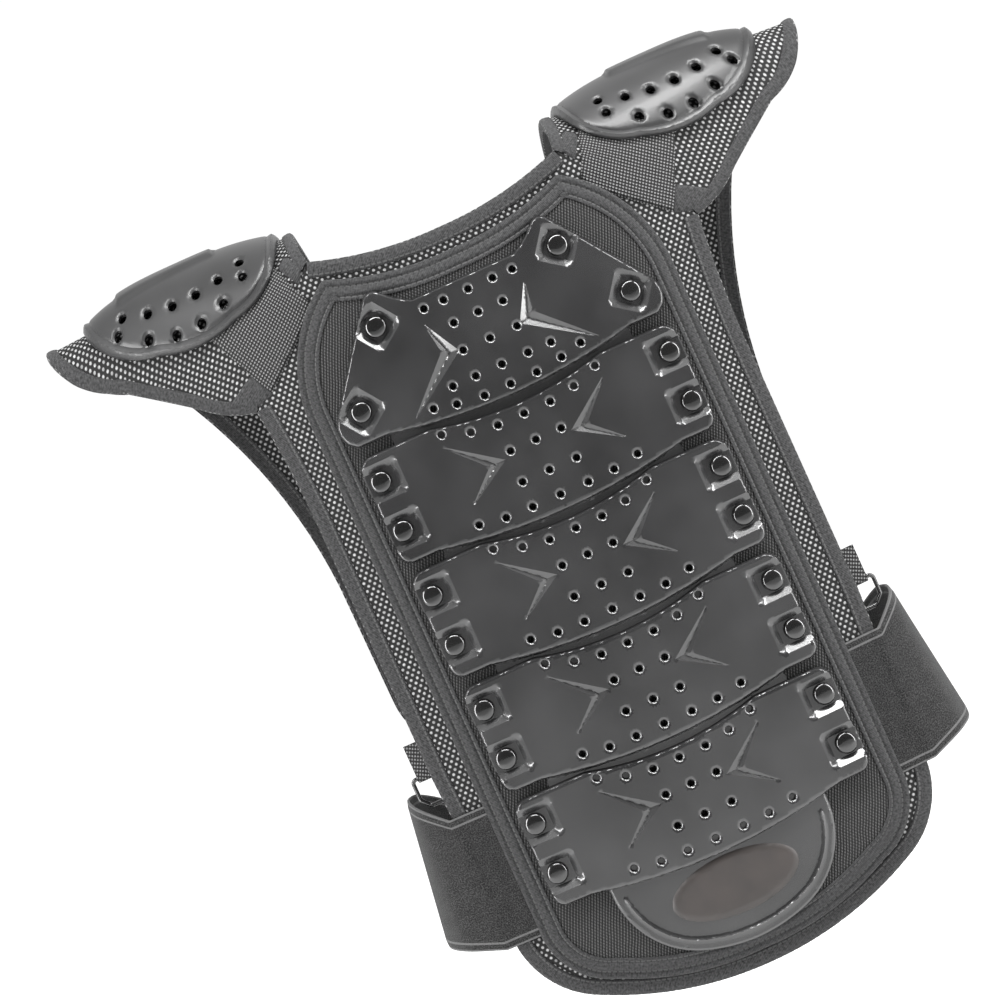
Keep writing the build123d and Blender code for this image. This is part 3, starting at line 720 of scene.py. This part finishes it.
WHOLE_HEM = in_to_spine(ARMHOLE)
COVER_LOOP = COVER + [COVER[0]]
for number in range(1, 5):
    high, low = FABRIC_CUTS[number - 1], FABRIC_CUTS[number]
    panel = slab(f"back_mesh_{number}", clipped(BACK, low, high), back, level(MESH), level(0), 6)
    finish_piece(panel, SPACER, fabric_nodes("mesh_panel", number), blend=spine_blend(number))
    cover = slab(f"back_cover_{number}", clipped(COVER, low, high), back,
                 lambda points: padded_height(points, COVER), level(SEWN), 4)
    stands_for = fabric_nodes("centre_cover", number) + fabric_nodes("foam_core", number)
    finish_piece(cover, KNIT, stands_for, blend=spine_blend(number))
    edges = ribbons(f"back_tape_{number}", between(WHOLE_HEM, low, high), back, TAPE_PROFILE, inward=-1)
    finish_piece(edges, TAPE, fabric_nodes("edge_tapes", number), blend=spine_blend(number))
    piping = ribbons(f"back_piping_{number}", between(COVER_LOOP, low, high), back, PIPING_PROFILE, inward=-1)
    finish_piece(piping, PIPING, blend=spine_blend(number))
neck_tape = ribbons("neck_tape", [out_from_spine(NECK)], back, TAPE_PROFILE, inward=-1)
finish_piece(neck_tape, TAPE, body="yoke")


# ---- back: plates
# A plate's vents, groove and tongue, from its own centre; the top plate's are heights above the hem.
VENTS = [(0, 17), (16, 17), (31.5, 19.5), (47, 25), (0, 1), (15.5, 1), (0, -17.5), (16.5, -17.5),
         (0, -32.5), (17, -32.5), (33, -32), (48.5, -29.5)]
TOP_VENTS = [(0, 413), (15, 413), (27, 413), (0, 399), (15, 399), (0, 383), (16.5, 383),
             (0, 367), (16, 367), (30, 367), (0, 355), (16, 355), (32, 357), (45, 360)]
CHEVRON = [(20, -2.5), (52, 20.5), (30, -2.5), (49.5, -20.5)]
TOP_CHEVRON = [(18.5, 383.5), (31, 406), (28, 387), (59, 356.5)]
TOP_RIVETS = [(55.5, 415), (82.5, 375)]
TONGUE_X = 73
TONGUE_EDGE = [(TONGUE_X, -46), (66, -52), (-66, -52), (-TONGUE_X, -46)]
TOP_SEAT, TOP_SEAT_TURN = (6.8, 6.8), radians(54)
SIDE_SEAT, SIDE_SEAT_X, SIDE_RIVET_X, RIVET_RISE = (12.5, 6.6), 92, 88.5, 15
VENT_RADIUS, RIM_RADIUS, VENT_DISH = 1.9, 3.4, 1.1
CHEVRON_DEPTH = 2.4
CHEVRON_SLOPE = 0.62
EDGE_ROUND = 2.0
PLATE_RIM = PLATE_FOOT + 1.2
TONGUE_TOP = PLATE_FOOT + 1.5
SEAT_WALL = 4.2  # width of the slope round a rivet seat


def both(points):
    """The points and their mirror images, those on the spine only once."""
    return list(points) + mirrored([(x, y) for x, y in points if abs(x) > 1e-6])


def plate_centre(number):
    return 320 - PLATE_PITCH * (number - 2)


def box_gap(points, centre, half, turn=0.0):
    """Signed distance outside a rectangle, negative within it."""
    offset = points - np.array(centre)
    x = offset[:, 0] * cos(turn) + offset[:, 1] * sin(turn)
    y = -offset[:, 0] * sin(turn) + offset[:, 1] * cos(turn)
    over = np.column_stack([np.abs(x) - half[0], np.abs(y) - half[1]])
    return np.hypot(*np.maximum(over, 0).T) + np.minimum(over.max(1), 0)


def plate_top(edge, seats, vents, chevrons):
    """Height of a moulded plate: rounded edge, sunk rivet seats, V grooves and countersunk vents."""
    def height(points):
        within = inside(points, edge)
        rim = edge_distance(points, edge)
        body = PLATE_RIM + (PLATE_TOP - PLATE_RIM) * rounded(rim, EDGE_ROUND)
        for centre, half, turn in seats:
            drop = np.clip(box_gap(points, centre, half, turn) / SEAT_WALL, 0, 1)
            body = np.minimum(body, SEAT_TOP + (PLATE_TOP - SEAT_TOP) * drop)
        for groove in chevrons:
            depth = edge_distance(points, groove) * inside(points, groove)
            body -= np.minimum(CHEVRON_SLOPE * depth, CHEVRON_DEPTH)
        for vent in vents:
            rise = (reach_from(points, vent) - VENT_RADIUS) / (RIM_RADIUS - VENT_RADIUS)
            body -= VENT_DISH * (1 - np.clip(rise, 0, 1)) ** 1.5
        return np.where(within, body, TONGUE_TOP)
    return height


def feature_points(vents, chevrons, edge):
    """Extra points where a plate's surface turns quickly."""
    extra = [ring(v, r) for v in vents for r in (2.3, 2.8, 4.0)]
    for groove in chevrons:
        low, high = np.min(groove, axis=0), np.max(groove, axis=0)
        across, up = (np.arange(low[i], high[i], 0.7) for i in (0, 1))
        fill = np.array([(x, y) for x in across for y in up])
        extra.append(fill[inside(fill, groove)])
    return extra + inner_loops(edge, (0.35, 0.8, 1.4, 2.0), 1.4)


def crease_lines(seats, vents, chevrons):
    """Lines where a plate's surface breaks: round each seat, vent dish and groove."""
    lines = [ring(v, RIM_RADIUS, 18) for v in vents]
    lines += [resample(groove, 1.2, closed=True) for groove in chevrons]
    for centre, half, turn in seats:
        for grow in (0.0, SEAT_WALL):
            corners = [(-half[0] - grow, -half[1] - grow), (half[0] + grow, -half[1] - grow),
                       (half[0] + grow, half[1] + grow), (-half[0] - grow, half[1] + grow)]
            turned = [(centre[0] + x * cos(turn) - y * sin(turn), centre[1] + x * sin(turn) + y * cos(turn))
                      for x, y in corners]
            lines.append(resample(turned, 1.6, closed=True))
    return lines


def plate_piece(name, edge, footprint, seats, vents, chevrons, replaced, body):
    top = plate_top(edge, seats, vents, chevrons)
    holes = [ring(v, VENT_RADIUS) for v in vents]
    piece = slab(name, footprint, back, top, lambda points: np.maximum(top(points) - PLATE_WALL, PLATE_FOOT),
                 2.0, holes=holes, extra=feature_points(vents, chevrons, edge),
                 lines=crease_lines(seats, vents, chevrons), sharp=28)
    return finish_piece(piece, PLASTIC, replaced, body=body)


def with_tongue(edge, centre):
    """A plate's edge with the tongue that runs on under the next plate."""
    first = max(i for i, (x, y) in enumerate(edge) if x > TONGUE_X and y < centre)
    last = min(i for i, (x, y) in enumerate(edge) if x < -TONGUE_X and y < centre and i > first)
    tongue = [(TONGUE_X, edge[first][1])] + moved(TONGUE_EDGE, centre) + [(-TONGUE_X, edge[last][1])]
    return edge[:first + 1] + tongue + edge[last:]


top_seats = [((x, y), TOP_SEAT, TOP_SEAT_TURN if x > 0 else -TOP_SEAT_TURN) for x, y in both(TOP_RIVETS)]
plate_piece("spine_plate_1", TOP_PLATE_EDGE, with_tongue(TOP_PLATE_EDGE, plate_centre(1)), top_seats,
            both(TOP_VENTS), [TOP_CHEVRON, mirrored(TOP_CHEVRON)], ["back_plate_1"], body_name(1))
for number in range(2, 6):
    centre = plate_centre(number)
    edge = moved(PLATE_EDGE, centre)
    seats = [((sign * SIDE_SEAT_X, centre + rise), SIDE_SEAT, 0.0)
             for sign in (1, -1) for rise in (RIVET_RISE, -RIVET_RISE)]
    groove = moved(CHEVRON, centre)
    footprint = edge if number == 5 else with_tongue(edge, centre)
    plate_piece(f"spine_plate_{number}", edge, footprint, seats, both(moved(VENTS, centre)),
                [groove, mirrored(groove)], [f"back_plate_{number}"], body_name(number))


# ---- back: tail plate and badge
TAIL_RIM = PLATE_FOOT + 0.9
TAIL_LINE, TAIL_LINE_IN, TAIL_LINE_END = 0.9, 6, 66
BADGE_CENTRE, BADGE_HALF, BADGE_LIFT = (0, 50), (38, 17), PLATE_FOOT + 1.5


def tail_top(points):
    """The tail: flat inside a raised line that follows its edge."""
    rim = edge_distance(points, TAIL)
    line = raised_line(rim, TAIL_LINE_IN, 0.8) * (points[:, 1] < TAIL_LINE_END)
    return TAIL_RIM + 0.9 * np.clip(rim / 1.2, 0, 1) + TAIL_LINE * line


tail_loops = inner_loops(TAIL, (0.6, 1.2, 2.4, 3.6, 4.6, 5.3, 6.0, 6.7, 7.4, 8.4, 10.0), 1.5)
tail = slab("tail_guard", TAIL, back, tail_top, level(PLATE_FOOT), 2.0, extra=tail_loops)
finish_piece(tail, PLASTIC, ["tail_plate"], body="back_5")
BADGE_EDGE = [(BADGE_CENTRE[0] + BADGE_HALF[0] * x, BADGE_CENTRE[1] + BADGE_HALF[1] * y)
              for x, y in ring((0, 0), 1, 72)]
badge = slab("oval_badge", BADGE_EDGE, back,
             lambda points: BADGE_LIFT + 0.4 + 1.1 * swollen(edge_distance(points, BADGE_EDGE), 1.6),
             level(BADGE_LIFT), 2.5)
finish_piece(badge, BADGE, ["tail_badge"], body="back_5")


# ---- rivets
# Half section of a rivet cap, from its crown out, as (radius, height).
RIVET_PROFILE = [(0, 3.5), (2.5, 3.42), (4.2, 3.2), (5.2, 2.85), (5.8, 2.35), (6.15, 1.7), (6.3, 0.9),
                 (6.3, 0.0)]
RIVET_STEPS = 28


def rivets(name, spots, side, above, replaced, body):
    """Domed rivet caps with a stepped rim, standing square to the bowed face."""
    verts, faces, pattern = [], [], []
    steps = RIVET_STEPS
    rows = len(RIVET_PROFILE) - 1
    for x, height in spots:
        radius = CURVE_RADIUS + above
        turn = asin(x / radius)
        depth = radius * cos(turn) - (CURVE_RADIUS - HALF_DEPTH)
        origin = np.array([x, side * depth, height - SHOULDER_HEIGHT])
        right = np.array([cos(turn), -side * sin(turn), 0])
        out = np.array([sin(turn), side * cos(turn), 0])
        up = np.array([0, 0, 1.0])
        start = len(verts)
        for r, lift in RIVET_PROFILE[1:]:
            for a in np.linspace(0, 2 * pi, steps + 1)[:-1]:
                verts.append(origin + right * r * cos(a) + up * r * sin(a) + out * lift)
                pattern.append((r * cos(a), r * sin(a)))
        for row in range(rows - 1):
            for k in range(steps):
                a, b = start + row * steps + k, start + row * steps + (k + 1) % steps
                faces.append((a, b, b + steps, a + steps))
        verts.append(origin + out * RIVET_PROFILE[0][1])
        pattern.append((0, 0))
        faces += [(len(verts) - 1, start + (k + 1) % steps, start + k) for k in range(steps)]
        faces.append(tuple(start + (rows - 1) * steps + k for k in range(steps)))
    piece = make_object(name, np.array(verts) * MM, faces, pattern, sharp=45)
    return finish_piece(piece, GLOSS, replaced, body=body)


for number in range(1, 6):
    side_rivets = [(SIDE_RIVET_X, plate_centre(number) + rise) for rise in (RIVET_RISE, -RIVET_RISE)]
    spots = both(TOP_RIVETS if number == 1 else side_rivets)
    rivets(f"rivet_caps_{number}", spots, BEHIND, SEAT_TOP, [f"plate_rivets_{number}"], body_name(number))


# ---- shoulders
SEAM_OUT = np.array([65.0, 61.0]) / np.hypot(65, 61)  # square to the seam, out along the wing
SEAM_REACH = 0.04  # how far the bend spreads along the wing, in metres
CAP_VENTS = [(113 + 16 * n, 458 + 15 * (2 * n / 5 - 1) ** 2) for n in range(6)]
CAP_VENTS += [(97 + 15 * n, 475 + 13 * (2 * n / 7 - 1) ** 2) for n in range(1, 7)]
CAP_HOLE = np.array([2.8, 2.8 * 1.2])  # half width and half length of a cap's vent
CAP_BRIDGE = (124, 189)  # the raised bridge over the cap's crown
WEBBING_PATCHES = {"back": [(146, 452), (98, 476), (82, 440), (125, 406)],
                   "front": [(146, 452), (98, 476), (88, 464.5), (128, 456.5)]}
SEAM_PATCHES = [[(124, 406), (131, 421), (152, 409), (138, 401.5)],
                [(80, 463), (86.5, 471), (93, 466), (85, 455)]]


def on_arch(arch, points, side):
    """Turns (x, height) points into the arch's pattern on one side of its crown."""
    return [(x, side * float(arch.travel(x, y))) for x, y in points]


def over_crown(arch):
    """The wing's edge beside the neck, from the front over the crown to the back."""
    end = float(arch.travel(*NECK_CORNER))
    return [(NECK_X + 2.5 * (1 - (t / end) ** 2), t) for t in np.linspace(end, -end, 24)]


def wing_outline(arch):
    """Wing pattern: back seam, lower back edge, tip, lower front edge and front fold."""
    back_edge = on_arch(arch, chain(resample([NECK_CORNER, ARMPIT], 4), WING_BACK_EDGE), -1)
    front_edge = on_arch(arch, chain(resample([NECK_CORNER, FOLD_END], 4), WING_FRONT_EDGE), 1)
    return chain(back_edge, front_edge[::-1], over_crown(arch))


def wing_blend(wing, sign):
    """The blend across the seam between the back and one wing."""
    x, z = np.array([sign * NECK_CORNER[0], NECK_CORNER[1] - SHOULDER_HEIGHT]) * MM
    out_x, out_z = np.array([sign * SEAM_OUT[0], SEAM_OUT[1]]) * SEAM_REACH
    return "yoke", wing, (x, -0.05, z), (x + out_x, -0.05, z + out_z)


def wing_fabric(side_name, arch, bend):
    """The wing's mesh, and the tape along its free edges."""
    cloth = slab(f"{side_name}_wing_cloth", wing_outline(arch), arch, level(MESH), level(0), 5)
    finish_piece(cloth, SPACER, [f"{side_name}_wing_mesh"], blend=bend)
    free_edge = chain(on_arch(arch, WING_BACK_EDGE, -1), on_arch(arch, WING_FRONT_EDGE, 1)[::-1])
    edges = ribbons(f"{side_name}_wing_tape", [free_edge, over_crown(arch)], arch, NARROW_TAPE)
    finish_piece(edges, TAPE, [f"{side_name}_wing_tape"], blend=bend)


def sewn_patch(name, arch, corners, side, corner_step, rise):
    """A patch sewn on a wing, lower along its edge."""
    outline = on_arch(arch, resample(corners, corner_step, closed=True).tolist(), side)

    def top(points):
        return MESH + 0.4 + rise * swollen(edge_distance(points, outline), 1.5)
    return slab(name, outline, arch, top, level(SEWN), 3)


def cap_height(points, edge, vents):
    """A moulded cap: rolled rim, groove inside it, raised bridge over the crown and dished vents."""
    rim = edge_distance(points, edge)
    lift = 2.5 * np.sqrt(np.clip(rim / 1.8, 0.05, 1)) + 0.9 * raised_line(rim, 2.2, 1.4)
    bridge = smooth((points[:, 0] - CAP_BRIDGE[0]) / 3) * smooth((CAP_BRIDGE[1] - points[:, 0]) / 3)
    lift += 2.2 * bridge * smooth((26 - np.abs(points[:, 1])) / 6)
    lift -= 0.7 * raised_line(rim, 5.2, 0.7)
    for vent in vents:
        lift -= 1.2 * (1 - np.clip((reach_from(points, vent, CAP_HOLE) - 1) / 0.6, 0, 1)) ** 1.5
    return lift


def make_cap(side_name, arch):
    edge = chain(on_arch(arch, CAP_RIM, -1), on_arch(arch, CAP_RIM, 1)[::-1])
    vents = [p for side in (-1, 1) for p in on_arch(arch, CAP_VENTS, side)]
    holes, dishes = ([np.array(v) + np.array(ring((0, 0), r)) * CAP_HOLE for v in vents for r in radii]
                     for radii in ((1,), (1.2, 1.4, 1.6)))
    cap = slab(f"{side_name}_cap", edge, arch, lambda points: cap_height(points, edge, vents),
               lambda points: cap_height(points, edge, vents) - PLATE_WALL, 2.4, holes=holes,
               extra=dishes + inner_loops(edge, (0.5, 1.2, 2.2, 3.2, 4.4, 5.2, 6.0), 1.6))
    stands_for = [f"{side_name}_shoulder_cap", f"{side_name}_shoulder_foam"]
    finish_piece(cap, CAP_PLASTIC, stands_for, body=f"{side_name}_wing")


def make_shoulder(side_name, sign):
    arch = Arch(sign, 0, wing_top)
    bend = wing_blend(f"{side_name}_wing", sign)
    wing_fabric(side_name, arch, bend)
    for (label, corners), side in zip(WEBBING_PATCHES.items(), (-1, 1)):
        web = sewn_patch(f"{side_name}_{label}_webbing", arch, corners, side, 4, 1.8)
        stands_for = [f"{side_name}_wing_webbing", "yoke_webbing"] if label == "back" else []
        finish_piece(web, WEBBING, stands_for, blend=bend)
    for number, corners in enumerate(SEAM_PATCHES, 1):
        binding = sewn_patch(f"{side_name}_seam_binding_{number}", arch, corners, -1, 3, 1.3)
        finish_piece(binding, TAPE, blend=bend)
    make_cap(side_name, Arch(sign, CAP_STANDOFF, cap_top))


make_shoulder("right", 1)
make_shoulder("left", -1)


# ---- chest
CHEST_FOLD = ("yoke", "chest", (0, 0.06, -0.022), (0, 0.06, -0.058))  # below the caps, above the pad
CHEST_PLATES = {"upper": (348, 40), "lower": (256, 44)}  # height of the middle, half height
CHEST_PLATE_HALF, CHEST_CORNER, CHEST_RIVET_X, CHEST_RIVET_IN = 80, 10, 68, 12
CHEST_PLATE_RISE = 2.4

cloth = slab("chest_cloth", CHEST, chest, level(MESH), level(0), 6)
finish_piece(cloth, SPACER, ["chest_mesh"], blend=CHEST_FOLD)
chest_paths = [in_to_spine(CHEST_EDGE), out_from_spine(CHEST_NECK)]
edges = ribbons("chest_edge_tape", chest_paths, chest, TAPE_PROFILE, inward=-1)
finish_piece(edges, TAPE, ["chest_tape"], blend=CHEST_FOLD)
pad = slab("chest_pad", CHEST_COVER, chest, lambda points: padded_height(points, CHEST_COVER), level(SEWN), 4)
finish_piece(pad, KNIT, ["chest_cover", "chest_foam"], body="chest")
piping = ribbons("chest_piping", [CHEST_COVER + [CHEST_COVER[0]]], chest, PIPING_PROFILE, inward=-1)
finish_piece(piping, PIPING, body="chest")


def chest_plate_edge(centre, half):
    """An upright rectangle with rounded corners."""
    side, inner = CHEST_PLATE_HALF, CHEST_PLATE_HALF - CHEST_CORNER
    top, bottom = centre + half, centre - half
    return symmetric(chain([(0, top), (inner, top)],
                           arc((inner, top), (side - 3, top - 3), (side, top - CHEST_CORNER), 6),
                           arc((side, bottom + CHEST_CORNER), (side - 3, bottom + 3), (inner, bottom), 6),
                           [(0, bottom)]))


def chest_plate_top(edge, vents):
    """Height of a plain plate: rounded edge, a raised field and dished vents."""
    def height(points):
        rim = edge_distance(points, edge)
        body = PLATE_FOOT + 0.8 + CHEST_PLATE_RISE * rounded(rim, 2.5) + 1.2 * smooth((rim - 16) / 3)
        for vent in vents:
            body -= 0.5 * (1 - np.clip((reach_from(points, vent) - VENT_RADIUS) / 1.1, 0, 1))
        return body
    return height


for place_name, (centre, half) in CHEST_PLATES.items():
    edge = chest_plate_edge(centre, half)
    vents = both([(x, centre + rise) for x in (0, 16, 32) for rise in (-22, 0, 22)])
    plate = slab(f"chest_guard_{place_name}", edge, chest, chest_plate_top(edge, vents), level(PLATE_FOOT),
                 2.2, holes=[ring(v, VENT_RADIUS) for v in vents], extra=feature_points(vents, [], edge))
    finish_piece(plate, PLASTIC, [f"chest_plate_{place_name}"], body="chest")
chest_spots = both([(CHEST_RIVET_X, centre + end * (half - CHEST_RIVET_IN))
                    for centre, half in CHEST_PLATES.values() for end in (1, -1)])
rivets("chest_rivet_caps", chest_spots, AHEAD, PLATE_FOOT + 3.2, ["chest_rivets"], "chest")


# ---- waist straps
STRAP_WIDTH, STRAP_MIDDLE = 80, 105
STRAP_ROWS = 25
STRAP_FLARE = 15  # how much wider its lower edge runs round the body
STRAP_TURN = ((0.128, -0.064), (0.136, -0.040))  # where the band starts and stops bending, in metres
ROOT_LIFT = 8.3  # the sewn root's middle, out from the inner face


def strap_plan(flare, front):
    """Centre-line of a strap in plan, from its sewn root round to its end, in millimetres."""
    root = [(x, BEHIND * (sqrt((CURVE_RADIUS + ROOT_LIFT) ** 2 - x ** 2) - (CURVE_RADIUS - HALF_DEPTH)))
            for x in (108, 114, 120, 126)]
    bend = [(134, -60.2), (147 + flare / 2, -43.5), (151.2 + flare, -10), (151.2 + flare, 26),
            (140 + flare / 2, 62.6), (112.8, front - 8.9), (86.4, front - 0.4)]
    end = [(x, front + 1.2) for x in (62, 20, -40)]
    return catmull(np.array(root + bend + end), 8)


def catmull(points, steps):
    """A smooth curve through the points."""
    padded = np.vstack([2 * points[0] - points[1], points, 2 * points[-1] - points[-2]])
    result = []
    for i in range(1, len(padded) - 2):
        p0, p1, p2, p3 = padded[i - 1:i + 3]
        for t in np.linspace(0, 1, steps, endpoint=False):
            result.append(0.5 * (2 * p1 + (p2 - p0) * t + (2 * p0 - 5 * p1 + 4 * p2 - p3) * t ** 2
                                 + (3 * p1 - p0 - 3 * p2 + p3) * t ** 3))
    result.append(padded[-2])
    return np.array(result)


def strap(name, sign, front, replaced, body):
    """An elastic band: its lower edge runs wider round the body than its upper."""
    wide, narrow = strap_plan(STRAP_FLARE, front), strap_plan(0, front)
    rows = np.linspace(0, 1, STRAP_ROWS)
    count = len(wide)
    low = np.interp(narrow[:, 0], [133, 168], [65, 80])
    high = np.interp(narrow[:, 0], [133, 150, 170], [145, 160, 162])
    along = np.concatenate([[0], np.cumsum(np.hypot(*np.diff(narrow, axis=0).T))])
    verts, pattern = [], []
    for face_side in (1, -1):
        for row in rows:
            height = low + row * (high - low)
            share = np.clip((170 - height) / 110, 0, 1)[:, None]
            centre = narrow + (wide - narrow) * share
            run = np.gradient(centre, axis=0)
            run /= np.hypot(*run.T)[:, None]
            thin = 1.25 - 0.6 * (abs(row - 0.5) > 0.48)
            spot = centre + face_side * thin * np.column_stack([run[:, 1], -run[:, 0]])
            verts.append(np.column_stack([sign * spot[:, 0], spot[:, 1], height - SHOULDER_HEIGHT]) * MM)
            pattern.append(np.column_stack([along, np.full(count, row * STRAP_WIDTH)]))
    faces = []
    layer_size = len(rows) * count
    for side in (0, 1):
        for r in range(len(rows) - 1):
            for i in range(count - 1):
                a = side * layer_size + r * count + i
                faces.append((a, a + 1, a + count + 1, a + count))
    rim = list(range(count)) + [r * count + count - 1 for r in range(1, len(rows))]
    rim += [(len(rows) - 1) * count + i for i in range(count - 2, -1, -1)]
    rim += [r * count for r in range(len(rows) - 2, 0, -1)]
    for a, b in zip(rim, rim[1:] + rim[:1]):
        faces.append((a, b, b + layer_size, a + layer_size))
    piece = make_object(name, np.vstack(verts), faces, np.vstack(pattern), sharp=60)
    start, end = ((sign * x, y, (STRAP_MIDDLE - SHOULDER_HEIGHT) * MM) for x, y in STRAP_TURN)
    return finish_piece(piece, PILE, replaced, blend=("back_5", body, start, end))


strap("right_waist_strap", 1, 94.3, ["right_strap", "strap_anchors"], "right_strap")
strap("left_waist_strap", -1, 90.0, ["left_strap"], "left_strap")


# ---- small parts kept from the frame
for node, material in (("hook_patch", HOOKS), ("right_ring", GLOSS), ("left_ring", GLOSS),
                       ("right_ring_tab", WEBBING), ("left_ring_tab", WEBBING)):
    obj = nodes[node]
    if not obj.data.uv_layers.get("pattern"):
        layer = obj.data.uv_layers.new(name="pattern")
        for loop in obj.data.loops:
            spot = obj.data.vertices[loop.vertex_index].co
            layer.data[loop.index].uv = (spot.x, spot.z)
    obj.data.materials.clear()
    obj.data.materials.append(material)


# ---- floor, light and camera
FLOOR_HEIGHT, FLOOR_REACH, FLOOR_GLOW = -0.6, 6.0, 0.35
SKY = [(0.0, 0.10), (0.12, 0.14), (0.30, 0.34), (0.50, 0.50), (0.75, 0.50), (1.0, 0.50)]
SKY_STRENGTH = 2.05

floor_mesh = bpy.data.meshes.new("floor")
floor_mesh.from_pydata([(x * FLOOR_REACH, y * FLOOR_REACH, FLOOR_HEIGHT)
                        for x, y in ((-1, -1), (1, -1), (1, 1), (-1, 1))], [], [(0, 1, 2, 3)])
floor = add_object("floor", floor_mesh)
floor_paint = Paint("pale_floor", grey(0.9), 0.9)
floor_paint.colour(floor_paint.ramp(floor_paint.object_noise(3), 0.2, 0.8, (grey(0.88), grey(0.92))))
floor_paint.set("Emission Color", (1, 1, 1, 1))
floor_paint.set("Emission Strength", FLOOR_GLOW)
floor_mesh.materials.append(floor_paint.material)

# The sky is bright behind the vest and dim behind the camera, so that faces square to the camera stay dark
# and every edge and facet catches a light line.
world = bpy.data.worlds.new("studio")
world.use_nodes = True
tree = world.node_tree
facing = tree.nodes.new("ShaderNodeSeparateXYZ")
tree.links.new(tree.nodes.new("ShaderNodeTexCoord").outputs["Generated"], facing.inputs[0])
toward = tree.nodes.new("ShaderNodeMapRange")
toward.inputs[1].default_value, toward.inputs[2].default_value = -1, 1
tree.links.new(facing.outputs[1], toward.inputs[0])
sky = tree.nodes.new("ShaderNodeValToRGB")
tree.links.new(toward.outputs[0], sky.inputs[0])
for spot, value in SKY[2:]:
    sky.color_ramp.elements.new(spot)
for element, (spot, value) in zip(sky.color_ramp.elements, SKY):
    element.position = spot
    element.color = (*grey(value), 1)
tree.links.new(sky.outputs[0], tree.nodes["Background"].inputs[0])
tree.nodes["Background"].inputs[1].default_value = SKY_STRENGTH
bpy.context.scene.world = world
bpy.context.scene.view_settings.view_transform = "Standard"


def strip_light(name, spot, target, width, length, power):
    light = bpy.data.lights.new(name, "AREA")
    light.shape, light.size, light.size_y, light.energy = "RECTANGLE", width, length, power
    obj = add_object(name, light)
    obj.location = spot
    obj.rotation_euler = (Vector(target) - Vector(spot)).to_track_quat("-Z", "Y").to_euler()


strip_light("top_strip", (0.15, -0.55, 0.85), (0, -0.08, -0.15), 1.4, 0.2, 34)
strip_light("left_strip", (-1.1, -0.55, 0.0), (0, -0.08, -0.2), 0.2, 1.2, 20)
strip_light("right_strip", (1.1, -0.55, 0.0), (0, -0.08, -0.2), 0.2, 1.2, 20)
strip_light("low_strip", (0.0, -0.6, -0.95), (0, -0.08, -0.25), 0.9, 0.1, 6)

# The camera is level with the middle of the back, rolled so that the vest leans to the left.
ROLL = radians(24.3)
TARGET = Vector((-0.0318, -0.085, -0.1643))
DISTANCE = 1.8
VIEW_WIDTH = 0.5586  # across the picture at the plates
SENSOR = 36
camera_data = bpy.data.cameras.new("camera")
camera_data.sensor_width = SENSOR
camera_data.lens = SENSOR * DISTANCE / VIEW_WIDTH
camera = add_object("camera", camera_data)
camera.matrix_world = Matrix((
    (cos(ROLL), sin(ROLL), 0, TARGET.x),
    (0, 0, -1, TARGET.y - DISTANCE),
    (-sin(ROLL), cos(ROLL), 0, TARGET.z),
    (0, 0, 0, 1)))
bpy.context.scene.camera = camera
